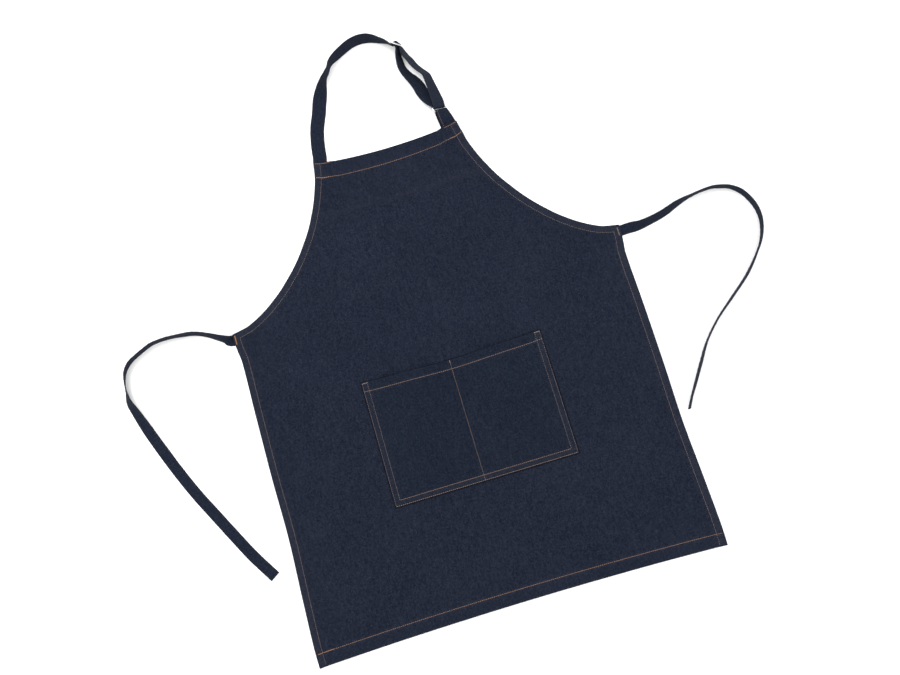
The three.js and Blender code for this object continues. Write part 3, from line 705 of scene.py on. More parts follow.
@dataclass
class PatchPocket:
    """Patch with a folded edge on three sides, a hemmed mouth and a sewn divider."""

    width: float = 0.312
    height: float = 0.214
    below_waist: float = 0.139
    offset: float = 0.002
    top_bow: float = 0.006
    fold: float = 0.0105
    fold_thickness: float = 0.002
    hem: float = 0.016
    hem_thickness: float = 0.0022
    thickness: float = 0.001
    gape: float = 0.007
    divider: float = 0.003
    divider_at: float = -0.0035
    seat: float = 0.00108
    step: float = 0.0027
    stitch_inside: float = 0.0012
    second_row: float = 0.0098
    row_from_edge: float = 0.001
    edge_radius: float = 0.0011
    fold_step: float = 0.0012
    pucker_pitch: float = 0.0088
    pucker_slant: float = 0.02
    pucker_height: float = 0.00016
    groove_depth: float = 0.0004
    pin_depth: float = 0.0009
    grid_start: float = 0.0045
    grid_clear: float = 0.004

    def __post_init__(self) -> None:
        """Lay out the grid's columns and rows."""
        half = self.width / 2
        edge = (0.0, 0.00015, 0.0005, 0.0012, 0.0019, 0.0028)
        pins = (-0.0028, -0.0016, -0.0008, 0.0, 0.0008, 0.0016, 0.0028)
        inner = [self.grid_start + i * self.step for i in range(int(half / self.step))]
        from_edges = [side * (half - d) for side in (-1, 1) for d in (*edge, *inner)]
        free = [x for x in from_edges if abs(x - self.divider_at) > self.grid_clear]
        self.columns = sorted({*free, *(self.divider_at + pin for pin in pins)})
        count = int((self.height - self.grid_start - self.grid_clear) / self.step) + 1
        rows = [self.grid_start + i * self.step for i in range(count)]
        self.rows = sorted({*edge, *rows, *(self.height - d for d in edge)})

    def surface(self, x: float, height: float, above: bool) -> GridPlace:
        """Place of a point of the patch on one face.

        Args:
            x: its place across, from the patch's middle.
            height: its height above the bottom edge, before the mouth's bow.
            above: whether it is on the upper face.

        Returns:
            The place and the wear there.
        """
        half = self.width / 2
        away = abs(x)
        from_side, from_top = half - away, self.height - height
        inner = half - self.fold - self.fold_step
        from_divider = x - self.divider_at
        way_in = math.copysign(1.0, from_divider)
        compartment = inner - way_in * self.divider_at - self.divider / 2
        share = min(max((inner - way_in * x) / compartment, 0.0), 1.0)
        rise = max(height - self.fold, 0.0) / (self.height - self.fold)
        gape = self.gape * math.sin(math.pi * share) ** 2 * rise
        sag = self.top_bow * (1 - (x / half) ** 2) * rise * rise
        y = -self.below_waist - self.height + height - sag
        across = x + self.offset
        seams = (
            (from_side, self.stitch_inside, y), (from_side, self.second_row, y),
            (height, self.stitch_inside, x), (height, self.second_row, x),
        )
        groove, pucker = 0.0, 0.0
        rim = min(from_side, height, from_top)
        wear = 0.16 * ridge(rim, 0.0015)
        for distance, seam, way in seams:
            turns = way / self.pucker_pitch + distance / self.pucker_slant
            rope = math.sin(2 * math.pi * turns + seam * 900)
            groove = max(groove, ridge(distance - seam, GROOVE_WIDTH))
            pucker += rope * ridge(distance - seam, 0.006)
            wear = max(wear, (0.16 + 0.14 * rope) * ridge(distance - seam, 0.004))
        from_row = from_top - self.hem
        groove = max(groove, ridge(from_row, GROOVE_WIDTH))
        wear = max(wear, 0.25 * ridge(from_row, 0.004))
        turns = x / self.pucker_pitch + from_top / self.pucker_slant
        pucker += math.sin(2 * math.pi * turns) * ridge(from_row, 0.007)
        fold_end = self.fold + self.fold_step
        folded = max(fade(from_side, self.fold, fold_end), fade(height, self.fold, fold_end))
        thickness = self.thickness + (self.fold_thickness - self.thickness) * folded
        hemmed = fade(from_top, self.hem, self.hem + 0.0014)
        thickness += (self.hem_thickness - thickness) * hemmed
        layer = self.fold_thickness + (self.hem_thickness - self.fold_thickness) * hemmed
        wear = max(wear, 0.18 * folded)
        pinned = fade(abs(from_divider), 0.0009, 0.0046) * (1 - hemmed) * (1 - folded)
        top = self.seat + layer + gape - self.pin_depth * pinned + swell(across, y)
        cut = thickness / 2 * (1 - rounded_edge(rim, self.edge_radius))
        if above:
            z = top - cut + self.pucker_height * pucker - self.groove_depth * groove
        else:
            z = top - thickness + cut
        return GridPlace(Vector((across, y, z)), wear)

    def place(self, i: int, j: int, above: bool) -> GridPlace:
        """Place of the grid point in column i and row j."""
        return self.surface(self.columns[i], self.rows[j], above)

    def way(
        self, start: tuple[float, float], end: tuple[float, float], steps: int = 80
    ) -> list[Vector]:
        """Points on the upper face between two places, each across and up."""
        points = []
        for i in range(steps + 1):
            t = i / steps
            x = start[0] + (end[0] - start[0]) * t
            height = start[1] + (end[1] - start[1]) * t
            points.append(self.surface(x, height, True).at)
        return points

    def build(self) -> bpy.types.Object:
        """Make the patch.

        Returns:
            The cloth's object.
        """
        return cloth_wall("pocket_cloth", len(self.columns), len(self.rows), self.place)

    def outline(self) -> "PatchPaintedShade":
        """The patch's outline on the cloth under it, for the painted shade beside it."""
        low = -self.below_waist - self.height
        return PatchPaintedShade(self.offset, self.width / 2, low, -self.below_waist, self.top_bow)

    def sew(self) -> bpy.types.Object:
        """Make the patch's stitching: rows round it, the mouth's hem, the divider and the bar tacks.

        Returns:
            The thread's object.
        """
        thread = Seam("pocket_stitching")
        half, start = self.width / 2, self.row_from_edge
        end = self.height - start
        for inside in (self.stitch_inside, self.second_row):
            corner = half - inside
            for side in (-1, 1):
                rise = self.way((side * corner, inside), (side * corner, end))
                thread.sew(rise, PATCH_SIDE_ROW)
            thread.sew(self.way((-corner, inside), (corner, inside)), PATCH_ROW)
        mouth = self.height - self.hem
        thread.sew(self.way((-half + start, mouth), (half - start, mouth)), MOUTH_ROW)
        thread.sew(self.way((self.divider_at, start), (self.divider_at, end)), DIVIDER_ROW)
        for side in (-1, 1):
            bar = self.surface(side * (half - 0.0058), self.height - 0.0022, True).at
            thread.tack(bar, Vector((1.0, 0.0, 0.0)), 0.0094, 0.0018, GREY_BAR)
        bar = self.surface(self.divider_at, self.height - 0.0026, True).at
        thread.tack(bar, Vector((0.0, 1.0, 0.0)), 0.0042, 0.0014, GREY_BAR)
        return thread.build()


class Section(NamedTuple):
    """Section of a strip: its middle, and its direction across or its lean to one side."""

    at: Vector
    across: Vector | None = None
    lean: float = 0.0
    outward: int = 1


class Station(NamedTuple):
    """Finished section of a strip: its middle, its three directions and the way travelled to it."""

    at: Vector
    along: Vector
    across: Vector
    face: Vector
    travelled: float


@dataclass
class Seat:
    """Frame of a fitting that the strap passes through: along it, across it and out of its face."""

    across_share: float
    up_share: float
    heading: float
    lean: float
    width: float
    depth: float
    raised: float
    turn_step: float = 22.0

    def __post_init__(self) -> None:
        """Work out the seat's place and directions."""
        angle, lean = math.radians(self.heading), math.radians(self.lean)
        self.along = Vector((math.cos(angle), math.sin(angle), 0.0))
        left = Vector((-math.sin(angle), math.cos(angle), 0.0))
        self.across = left * math.cos(lean) + UP * math.sin(lean)
        self.out = self.across.cross(self.along)
        height = self.width / 2 * self.across.z + self.depth * abs(self.out.z) + self.raised
        self.at = loop_place(self.across_share, self.up_share, height)

    def point(self, along: float, out: float) -> Vector:
        """Point at a distance along and out from the seat's middle."""
        return self.at + self.along * along + self.out * out

    def turn(self, bar: float, radius: float, start: float, end: float) -> list[Section]:
        """Sections of a strip's turn round one of the fitting's bars, between angles in degrees."""
        steps = max(1, math.ceil(abs(end - start) / self.turn_step))
        sections = []
        for i in range(steps + 1):
            angle = math.radians(start + (end - start) * i / steps)
            at = self.point(bar + radius * math.cos(angle), radius * math.sin(angle))
            sections.append(Section(at, self.across))
        return sections


@dataclass
class Ribbon:
    """Folded strip of denim along a way, with round edges and a fold line near one of them."""

    name: str
    sections: list[Section]
    width: float
    thickness: float
    fold_side: int = 1
    step: float = 0.0026
    fold_inside: float = 0.0022
    fold_line: float = 0.0006
    fold_depth: float = 0.00028
    uneven_edge: float = 0.00022
    rope_height: float = 0.00012
    rope_pitch: float = 0.0094
    floor_gap: float = 0.00005

    def __post_init__(self) -> None:
        """Work out the strip's stations and its outline."""
        self.stations = self.walk()
        self.outline = self.profile()

    def completed(self) -> list[Section]:
        """The sections, each with its direction across."""
        whole = []
        for i, section in enumerate(self.sections):
            if section.across is not None:
                whole.append(section)
                continue
            before = self.sections[max(i - 1, 0)].at
            after = self.sections[min(i + 1, len(self.sections) - 1)].at
            heading = Vector((after.x - before.x, after.y - before.y, 0.0)).normalized()
            outer = Vector((-heading.y, heading.x, 0.0)) * section.outward
            lean = math.radians(section.lean)
            whole.append(Section(section.at, outer * math.cos(lean) + UP * math.sin(lean)))
        return whole

    def walk(self) -> list[Station]:
        """Stations along a smooth curve through the sections, kept on the floor."""
        whole = self.completed()
        points = [section.at for section in whole]
        points = [points[0] * 2 - points[1], *points, points[-1] * 2 - points[-2]]
        stations: list[Station] = []
        travelled = 0.0
        for i in range(len(whole) - 1):
            p0, p1, p2, p3 = points[i:i + 4]
            d0, d1, d2 = ((b - a).length ** 0.5 for a, b in ((p0, p1), (p1, p2), (p2, p3)))
            t1 = ((p1 - p0) / d0 - (p2 - p0) / (d0 + d1) + (p2 - p1) / d1) * d1
            t2 = ((p2 - p1) / d1 - (p3 - p1) / (d1 + d2) + (p3 - p2) / d2) * d1
            steps = max(1, round((p2 - p1).length / self.step))
            last = i == len(whole) - 2
            for s in range(steps + (1 if last else 0)):
                t = s / steps
                c2 = (p2 - p1) * 3 - t1 * 2 - t2
                c3 = (p1 - p2) * 2 + t1 + t2
                at = p1 + t1 * t + c2 * (t * t) + c3 * (t ** 3)
                along = (t1 + c2 * (2 * t) + c3 * (3 * t * t)).normalized()
                across = whole[i].across.lerp(whole[i + 1].across, t)
                across = (across - along * across.dot(along)).normalized()
                if stations:
                    travelled += (at - stations[-1].at).length
                stations.append(Station(at, along, across, along.cross(across), travelled))
        return stations

    def profile(self) -> list[tuple[float, float]]:
        """Closed outline of the section, across and out of its face."""
        half, depth = self.width / 2, self.thickness / 2
        fold = half - self.fold_inside
        upper = [(-half, 0.0), (-half + depth * 0.2, depth * 0.55), (-half + depth, depth)]
        flats = [-half * 0.66, -half * 0.33, 0.0, half * 0.33, half * 0.66]
        for x in flats:
            upper.append((x, depth * (1 - 0.05 * abs(x) / half)))
        upper += [(fold - self.fold_line, depth), (fold, depth - self.fold_depth)]
        upper += [(fold + self.fold_line, depth)]
        upper += [(half - depth * 0.2, depth * 0.55), (half, 0.0)]
        lower = [(x, -depth if abs(y) > depth * 0.6 else -y) for x, y in upper[1:-1]]
        outline = upper + lower[::-1]
        return [(x * self.fold_side, y) for x, y in outline]

    def ring(self, station: Station, outline: Sequence[tuple[float, float]]) -> list[Vector]:
        """Points of the section at a station, with the small unevenness of sewn cloth."""
        s = station.travelled
        uneven = self.uneven_edge * noise.noise(Vector((s * 55.0, self.width * 400, 0.3)))
        drift = 3 * noise.noise(Vector((s * 20.0, 0.0, 7.0)))
        rope = self.rope_height * math.sin(2 * math.pi * s / self.rope_pitch + drift)
        points = []
        for x, y in outline:
            grown = x + math.copysign(uneven, x) * (abs(x) > self.width * 0.3)
            out = y + rope * (0.4 + 0.6 * abs(x) / self.width * 2) * (1 if y >= 0 else 0.4)
            points.append(station.at + station.across * grown + station.face * out)
        return points

    def raised(self, station: Station) -> Vector:
        """How far the section at a station is raised, so that it stays on the floor."""
        lowest = min(point.z for point in self.ring(station, self.outline))
        return UP * max(0.0, self.floor_gap - lowest)

    def build(self) -> bpy.types.Object:
        """Make the strip: a grid rolled into a tube, welded and closed at both ends.

        Returns:
            The cloth's object.
        """
        outline = self.outline
        rings = []
        for station in self.stations:
            raised = self.raised(station)
            rings.append([point + raised for point in self.ring(station, outline)])
        around, count = len(outline), len(rings)
        bm = bmesh.new()
        worn = bm.verts.layers.float.new("wear")
        bmesh.ops.create_grid(bm, x_segments=around, y_segments=count - 1, size=1.0)
        laid = bm.loops.layers.uv.new("cloth")
        places = {vert: grid_index(vert.co, around + 1, count) for vert in bm.verts}
        for face in bm.faces:
            for loop in face.loops:
                i, j = places[loop.vert]
                x = outline[i % around][0]
                loop[laid].uv = (x, self.stations[j].travelled)
        for vert, (i, j) in places.items():
            x = outline[i % around][0]
            vert[worn] = 0.5 * ridge(self.width / 2 - abs(x), 0.0016)
            vert.co = rings[j][i % around]
        bmesh.ops.remove_doubles(bm, verts=list(bm.verts), dist=1e-7)
        open_edges = [edge for edge in bm.edges if edge.is_boundary]
        bmesh.ops.holes_fill(bm, edges=open_edges, sides=0)
        bmesh.ops.recalc_face_normals(bm, faces=list(bm.faces))
        return new_piece(self.name, bm)

    def seam_way(
        self, x: float, face: int, start: float, end: float
    ) -> tuple[list[Vector], list[Vector]]:
        """Points and normals on a face at a place across, between two shares of the stations."""
        points, normals = [], []
        first, last = int(start * (len(self.stations) - 1)), int(end * (len(self.stations) - 1))
        for station in self.stations[first:last + 1]:
            on_face = self.ring(station, [(x, face * self.thickness / 2)])[0]
            points.append(on_face + self.raised(station) + station.face * (face * 0.00002))
            normals.append(station.face * face)
        return points, normals

    @property
    def length(self) -> float:
        """Length of the strip along its way."""
        return self.stations[-1].travelled


@dataclass
class NeckStrap:
    """Neck strap with its tab, slider and ring."""

    width: float = 0.0245
    thickness: float = 0.0018
    end_length: float = 0.022
    inset: float = 0.0003
    tab_inset: float = 0.0013
    tab_back_shift: float = 0.0035
    wire_radius: float = 0.0011
    gap: float = 0.0003
    side_clearance: float = 0.001
    ring_spacing: float = 0.0082
    slider_spacing: float = 0.0095
    sewn_end: float = 0.017
    sewn_turn: float = 24.0
    fold_share: float = 0.2
    slider_corner: float = 0.003
    ring_corner: float = 0.0022
    corner_steps: int = 8
    wire_sides: int = 16

    def __post_init__(self) -> None:
        """Place the slider and the ring."""
        self.wrap = self.wire_radius + self.gap + self.thickness / 2
        self.fitting = self.width + 2 * (self.side_clearance + 2 * self.wire_radius)
        self.slider = Seat(
            across_share=0.537, up_share=0.822, heading=-37.5, lean=110,
            width=self.fitting - 2 * self.wire_radius,
            depth=self.wire_radius, raised=self.wire_radius,
        )
        self.ring = Seat(
            across_share=0.834, up_share=0.1415, heading=-78, lean=148,
            width=self.width, depth=self.wrap + self.thickness / 2, raised=self.gap,
        )

    def row_sections(self, rows: Sequence[PathRow], outward: int) -> list[Section]:
        """Sections of the strap from a table's rows, each standing on its low edge."""
        sections = []
        for row in rows:
            z = standing_height(self.width, self.thickness, row.lean) + row.lift * self.width
            sections.append(Section(loop_place(row.across, row.up, z), None, row.lean, outward))
        return sections

    def weave(self) -> list[Section]:
        """Sections under the slider's first bar, over its middle one and under its last."""
        over = self.wrap + self.thickness + 2 * self.gap
        climb = math.degrees(math.asin((self.wrap + over) / self.slider_spacing))
        return [
            *self.slider.turn(-self.slider_spacing, self.wrap, -105, climb - 90),
            *self.slider.turn(0.0, over, 90 + climb, 90 - climb),
            *self.slider.turn(self.slider_spacing, self.wrap, -90 - climb, -130),
        ]

    def sewn_sections(self) -> list[Section]:
        """The strap's end, laid against the strand that it is sewn to."""
        turn = math.radians(self.sewn_turn)
        offset = self.wrap - self.thickness - self.gap
        sections = []
        for share in (0.25, 0.55, 1.0):
            side = -self.wrap + (offset + self.wrap) * min(1.0, 2 * share)
            down = share * self.sewn_end
            along = side * math.cos(turn) + down * math.sin(turn)
            out = side * math.sin(turn) - down * math.cos(turn)
            sections.append(Section(self.slider.point(along, out), self.slider.across))
        return sections

    def strap(self) -> Ribbon:
        """The strap's ribbon, from the bib's left corner to its sewn end."""
        x = -(BIB_HALF - self.width / 2) - self.inset
        flat = Vector((-1.0, 0.0, 0.0))
        hidden = [
            Section(Vector((x, BIB_HEIGHT - drop, self.thickness / 2)), flat)
            for drop in (self.end_length, 0.0)
        ]
        return Ribbon("neck_strap_cloth", [
            *hidden,
            *self.row_sections(STRAP_WAY, 1),
            *self.weave(),
            *self.row_sections(OUTER_STRAND, 1),
            *self.ring.turn(-self.ring_spacing / 2, self.wrap, 90, -90),
            *self.row_sections(INNER_STRAND, -1),
            *self.slider.turn(0.0, self.wrap, self.sewn_turn, self.sewn_turn + 180),
            *self.sewn_sections(),
        ], self.width, self.thickness, -1)

    def tab(self) -> Ribbon:
        """The tab's ribbon, folded round the ring."""
        front = BIB_HALF - self.width / 2 - self.tab_inset
        layers = (
            (front - self.tab_back_shift, self.thickness / 2),
            (front, self.thickness * 1.5 + self.gap),
        )
        flat = Vector((-1.0, 0.0, 0.0))
        between = (flat + self.ring.across).normalized()
        round_ring = self.ring.turn(self.ring_spacing / 2, self.wrap, 270, 90)
        halves = []
        for (x, z), ring_end in zip(layers, (round_ring[0], round_ring[-1])):
            sewn = [
                Section(Vector((x, BIB_HEIGHT - share * self.end_length, z)), flat)
                for share in (1.0, self.fold_share, 0.0)
            ]
            middle = Section(sewn[-1].at.lerp(ring_end.at, 0.5), between)
            halves.append([*sewn, middle])
        return Ribbon(
            "strap_tab_cloth", [*halves[0], *round_ring, *reversed(halves[1])],
            self.width, self.thickness,
        )

    def wire_loop(
        self, name: str, seat: Seat, half_along: float, corner: float, middle_bar: bool
    ) -> bpy.types.Object:
        """Bend a round wire to a rectangle with round corners.

        Args:
            name: the piece's name.
            seat: the fitting's frame.
            half_along: half its size along the strap, between wire middles.
            corner: radius of its corners.
            middle_bar: whether a third bar joins its ends.

        Returns:
            The wire's object.
        """
        half_across = self.fitting / 2 - self.wire_radius
        bm = bmesh.new()
        loops = []
        for a, b, start in ((1, 1, 0), (-1, 1, 90), (-1, -1, 180), (1, -1, 270)):
            for i in range(self.corner_steps + 1):
                angle = math.radians(start + 90 * i / self.corner_steps)
                outward = seat.along * math.cos(angle) + seat.across * math.sin(angle)
                centre = seat.at + seat.along * (a * (half_along - corner))
                centre += seat.across * (b * (half_across - corner)) + outward * corner
                loops.append(self.wire_section(bm, centre, outward, seat.out))
        for here, there in zip(loops, [*loops[1:], loops[0]]):
            bmesh.ops.bridge_loops(bm, edges=[*here, *there])
        if middle_bar:
            ends = [
                self.wire_section(
                    bm, seat.at + seat.across * (end * half_across), seat.along, seat.out
                )
                for end in (-1, 1)
            ]
            bmesh.ops.bridge_loops(bm, edges=[*ends[0], *ends[1]])
            for end in ends:
                bmesh.ops.holes_fill(bm, edges=end, sides=0)
        bmesh.ops.recalc_face_normals(bm, faces=list(bm.faces))
        return new_piece(name, bm)

    def wire_section(
        self, bm: bmesh.types.BMesh, centre: Vector, first: Vector, second: Vector
    ) -> list[bmesh.types.BMEdge]:
        """Add a circle of the wire in the plane of two directions, and give back its edges."""
        frame_of = Matrix((first, second, first.cross(second))).transposed().to_4x4()
        frame_of.translation = centre
        made = bmesh.ops.create_circle(
            bm, cap_ends=False, segments=self.wire_sides, radius=self.wire_radius, matrix=frame_of
        )
        return list({edge for vert in made["verts"] for edge in vert.link_edges})

    def build_slider(self) -> bpy.types.Object:
        """Make the slider."""
        return self.wire_loop(
            "slider_wire", self.slider, self.slider_spacing, self.slider_corner, True
        )

    def build_ring(self) -> bpy.types.Object:
        """Make the ring."""
        return self.wire_loop(
            "ring_wire", self.ring, self.ring_spacing / 2, self.ring_corner, False
        )


@dataclass
class WaistTie:
    """Waist tie sewn behind a side hem."""

    side: int
    rows: Sequence[PathRow]
    reach: float
    drop: float
    corner: Vector
    width: float = 0.0185
    thickness: float = 0.0018
    end_length: float = 0.015
    fold_share: float = 0.2
    below_corner: float = 0.0103

    def ribbon(self) -> Ribbon:
        """The tie's ribbon, from its hidden end outwards."""
        seat_y = self.corner.y - self.below_corner
        across = Vector((0.0, 1.0, 0.0))
        sections = []
        for share in (1.0, self.fold_share):
            x = self.corner.x - self.side * share * self.end_length
            sections.append(Section(Vector((x, seat_y, self.thickness / 2)), across))
        for row in self.rows:
            x = self.corner.x + self.side * row.across * self.reach
            z = standing_height(self.width, self.thickness, row.lean)
            at = Vector((x, seat_y - row.up * self.drop, z))
            sections.append(Section(at, None, row.lean, self.side))
        name = "waist_tie_left_cloth" if self.side < 0 else "waist_tie_right_cloth"
        return Ribbon(name, sections, self.width, self.thickness, -self.side)


class Coordinates(Enum):
    """What a weave's threads follow: the cloth's cut in the frame, or a strip's own length."""

    FRAME = "Object"
    STRIP = "UV"


@dataclass
class NodeBoard:
    """Nodes of one material or group, added and linked in code."""

    tree: bpy.types.NodeTree

    def add(self, kind: str, **settings: object) -> bpy.types.Node:
        """Add a node and set its own settings."""
        node = self.tree.nodes.new(kind)
        for key, value in settings.items():
            setattr(node, key, value)
        return node

    def link(self, source: bpy.types.NodeSocket, target: bpy.types.NodeSocket) -> None:
        """Link two sockets."""
        self.tree.links.new(source, target)

    def feed(self, socket: bpy.types.NodeSocket, value: object) -> None:
        """Link an input to another socket, or set it to a constant."""
        if isinstance(value, bpy.types.NodeSocket):
            self.link(value, socket)
        else:
            socket.default_value = value

    def feed_all(self, node: bpy.types.Node, values: dict[str, object]) -> bpy.types.Node:
        """Link or set a node's inputs by name, and give back the node."""
        for name, value in values.items():
            self.feed(node.inputs[name], value)
        return node

    def math(self, operation: str, *values: object, clamp: bool = False) -> bpy.types.NodeSocket:
        """Add a math node on sockets or numbers, and give back its output."""
        node = self.add("ShaderNodeMath", operation=operation, use_clamp=clamp)
        for socket, value in zip(node.inputs, values):
            self.feed(socket, value)
        return node.outputs[0]

    def split(self, vector: bpy.types.NodeSocket) -> Sequence[bpy.types.NodeSocket]:
        """Separate a vector, and give back its three parts."""
        node = self.add("ShaderNodeSeparateXYZ")
        self.link(vector, node.inputs[0])
        return node.outputs

    def scaled(self, vector: bpy.types.NodeSocket, scale: Sequence[float]) -> bpy.types.NodeSocket:
        """Multiply a vector by a constant one."""
        node = self.add("ShaderNodeVectorMath", operation="MULTIPLY")
        self.link(vector, node.inputs[0])
        node.inputs[1].default_value = tuple(scale)
        return node.outputs[0]

    def noise(
        self, vector: bpy.types.NodeSocket, scale: Sequence[float], detail: float,
        rough: float = 0.5,
    ) -> bpy.types.NodeSocket:
        """Add noise on a scaled vector, and give back its value."""
        node = self.feed_all(self.add("ShaderNodeTexNoise"), {
            "Vector": self.scaled(vector, scale), "Scale": 1.0, "Detail": detail,
            "Roughness": rough,
        })
        return node.outputs["Fac"]

    def stretch(
        self, value: object, low: float, high: float, to_low: float, to_high: float
    ) -> bpy.types.NodeSocket:
        """Map a value's range to another, clamped."""
        node = self.feed_all(self.add("ShaderNodeMapRange", clamp=True), {
            "Value": value, "From Min": low, "From Max": high, "To Min": to_low, "To Max": to_high,
        })
        return node.outputs["Result"]

    def mix(self, factor: object, first: object, second: object) -> bpy.types.NodeSocket:
        """Mix two colours, and give back the result."""
        node = self.add("ShaderNodeMix", data_type="RGBA", clamp_factor=True)
        for i, value in ((0, factor), (6, first), (7, second)):
            self.feed(node.inputs[i], value)
        return node.outputs[2]

    def bump(
        self, shader: bpy.types.Node, height: bpy.types.NodeSocket, strength: float, distance: float
    ) -> None:
        """Give a shader fine relief from a height."""
        node = self.feed_all(self.add("ShaderNodeBump"), {
            "Strength": strength, "Distance": distance, "Height": height,
        })
        self.link(node.outputs["Normal"], shader.inputs["Normal"])


class SharedEffects:
    """Shader effects that several finishes use, each a node group made once."""

    def __init__(self) -> None:
        """Make the groups."""
        self.twill = self.make_twill()
        self.rub = self.make_rub()

    @staticmethod
    def start(name: str, inputs: dict[str, str], outputs: dict[str, str]) -> tuple[
        bpy.types.NodeTree, NodeBoard, bpy.types.Node, bpy.types.Node
    ]:
        """Start a node group with named sockets.

        Args:
            name: the group's name.
            inputs: socket types by name.
            outputs: socket types by name.

        Returns:
            The group, its board, its input node and its output node.
        """
        group = bpy.data.node_groups.new(name, "ShaderNodeTree")
        for in_out, sockets in (("INPUT", inputs), ("OUTPUT", outputs)):
            for socket, kind in sockets.items():
                group.interface.new_socket(name=socket, in_out=in_out, socket_type=kind)
        board = NodeBoard(group)
        return group, board, board.add("NodeGroupInput"), board.add("NodeGroupOutput")

    def make_twill(self) -> bpy.types.NodeTree:
        """Twill of dark warp over pale weft: streaks, slubs, pale flecks and diagonal ribs."""
        group, board, given, result = self.start(
            "denim_twill",
            {"Vector": "NodeSocketVector", "Streak": "NodeSocketFloat", "Fleck": "NodeSocketFloat",
             "Cloud": "NodeSocketFloat"},
            {"Pale": "NodeSocketFloat", "Height": "NodeSocketFloat"},
        )
        vector = given.outputs["Vector"]
        streak = board.noise(vector, (760.0, 150.0, 300.0), 2.0)
        slub = board.noise(vector, (260.0, 60.0, 150.0), 1.0)
        fleck = board.noise(vector, (360.0, 320.0, 300.0), 4.0, 0.82)
        nep = board.stretch(board.noise(vector, (530.0, 480.0, 400.0), 0.0), 0.70, 0.84, 0.0, 1.0)
        grain = board.noise(vector, (2300.0, 1500.0, 900.0), 1.0)
        cloud = board.noise(vector, (9.0, 7.0, 9.0), 3.0, 0.55)
        x, y, _ = board.split(vector)
        diagonal = board.math("MULTIPLY_ADD", y, 1.35, x)
        rib = board.math("SINE", board.math("MULTIPLY", diagonal, 2 * math.pi / RIB_PITCH))
        warp, slubs, clouds = (
            board.math("MULTIPLY", board.math("SUBTRACT", spread, 0.5), given.outputs[amount])
            for spread, amount in ((streak, "Streak"), (slub, "Streak"), (cloud, "Cloud"))
        )
        sharp = board.stretch(fleck, 0.38, 0.70, 0.0, 1.0)
        pale = board.math("MULTIPLY", board.math("ADD", sharp, nep), given.outputs["Fleck"])
        total = board.math("ADD", board.math("ADD", warp, slubs), board.math("ADD", pale, clouds))
        fine = board.math("MULTIPLY_ADD", rib, 0.05, board.math("MULTIPLY", grain, 0.18))
        board.link(board.math("ADD", total, fine, clamp=True), result.inputs["Pale"])
        height = board.math("MULTIPLY_ADD", rib, 0.25, board.math("MULTIPLY", grain, 0.5))
        height = board.math("MULTIPLY_ADD", streak, 0.5, height)
        board.link(board.math("MULTIPLY_ADD", fleck, 0.6, height), result.inputs["Height"])
        return group

    def make_rub(self) -> bpy.types.NodeTree:
        """Rubbing on raised edges: the piece's wear, broken up by grain."""
        group, board, given, result = self.start(
            "edge_rub",
            {"Vector": "NodeSocketVector", "Wear": "NodeSocketFloat", "Amount": "NodeSocketFloat"},
            {"Mask": "NodeSocketFloat"},
        )
        grain = board.noise(given.outputs["Vector"], (420.0, 420.0, 420.0), 3.0, 0.65)
        patchy = board.stretch(grain, 0.3, 0.7, 0.35, 1.4)
        broken = board.math("MULTIPLY", patchy, given.outputs["Wear"])
        mask = board.math("MULTIPLY", broken, given.outputs["Amount"], clamp=True)
        board.link(mask, result.inputs["Mask"])
        return group


def start_material(name: str) -> tuple[bpy.types.Material, NodeBoard, bpy.types.Node]:
    """Start a material with an empty Principled shader.

    Args:
        name: the material's name.

    Returns:
        The material, its board and its shader.
    """
    material = bpy.data.materials.new(name)
    material.use_nodes = True
    material.node_tree.nodes.clear()
    board = NodeBoard(material.node_tree)
    shader = board.add("ShaderNodeBsdfPrincipled")
    output = board.add("ShaderNodeOutputMaterial")
    board.link(shader.outputs["BSDF"], output.inputs["Surface"])
    return material, board, shader


def add_group(board: NodeBoard, group: bpy.types.NodeTree, **values: object) -> bpy.types.Node:
    """Place a node group and set its inputs to numbers or links."""
    return board.feed_all(board.add("ShaderNodeGroup", node_tree=group), values)


@dataclass(frozen=True)
class PatchPaintedShade:
    """Outline of the patch sewn on a cloth, with its bowed upper edge, where painted shade darkens
    the cloth beside it.
    """

    centre: float
    half_width: float
    low: float
    high: float
    bow: float
    # Darkness of the painted shade at the patch's edge, and how far out it fades.
    depth: float = 0.5
    reach: float = 0.0030

    def mask(self, board: NodeBoard, where: bpy.types.NodeSocket) -> bpy.types.NodeSocket:
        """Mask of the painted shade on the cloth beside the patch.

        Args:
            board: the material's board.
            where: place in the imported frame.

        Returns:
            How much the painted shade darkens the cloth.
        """
        x, y, _ = board.split(where)
        aside = board.math("ABSOLUTE", board.math("SUBTRACT", x, self.centre))
        share = board.math("MULTIPLY", aside, 1 / self.half_width)
        square = board.math("MULTIPLY", share, share)
        top = board.math("MULTIPLY_ADD", square, self.bow, self.high - self.bow)
        below, above = board.math("SUBTRACT", self.low, y), board.math("SUBTRACT", y, top)
        away = board.math("MAXIMUM", below, above)
        away = board.math("MAXIMUM", away, board.math("SUBTRACT", aside, self.half_width))
        return board.stretch(away, 0.0008, self.reach, self.depth, 0.0)


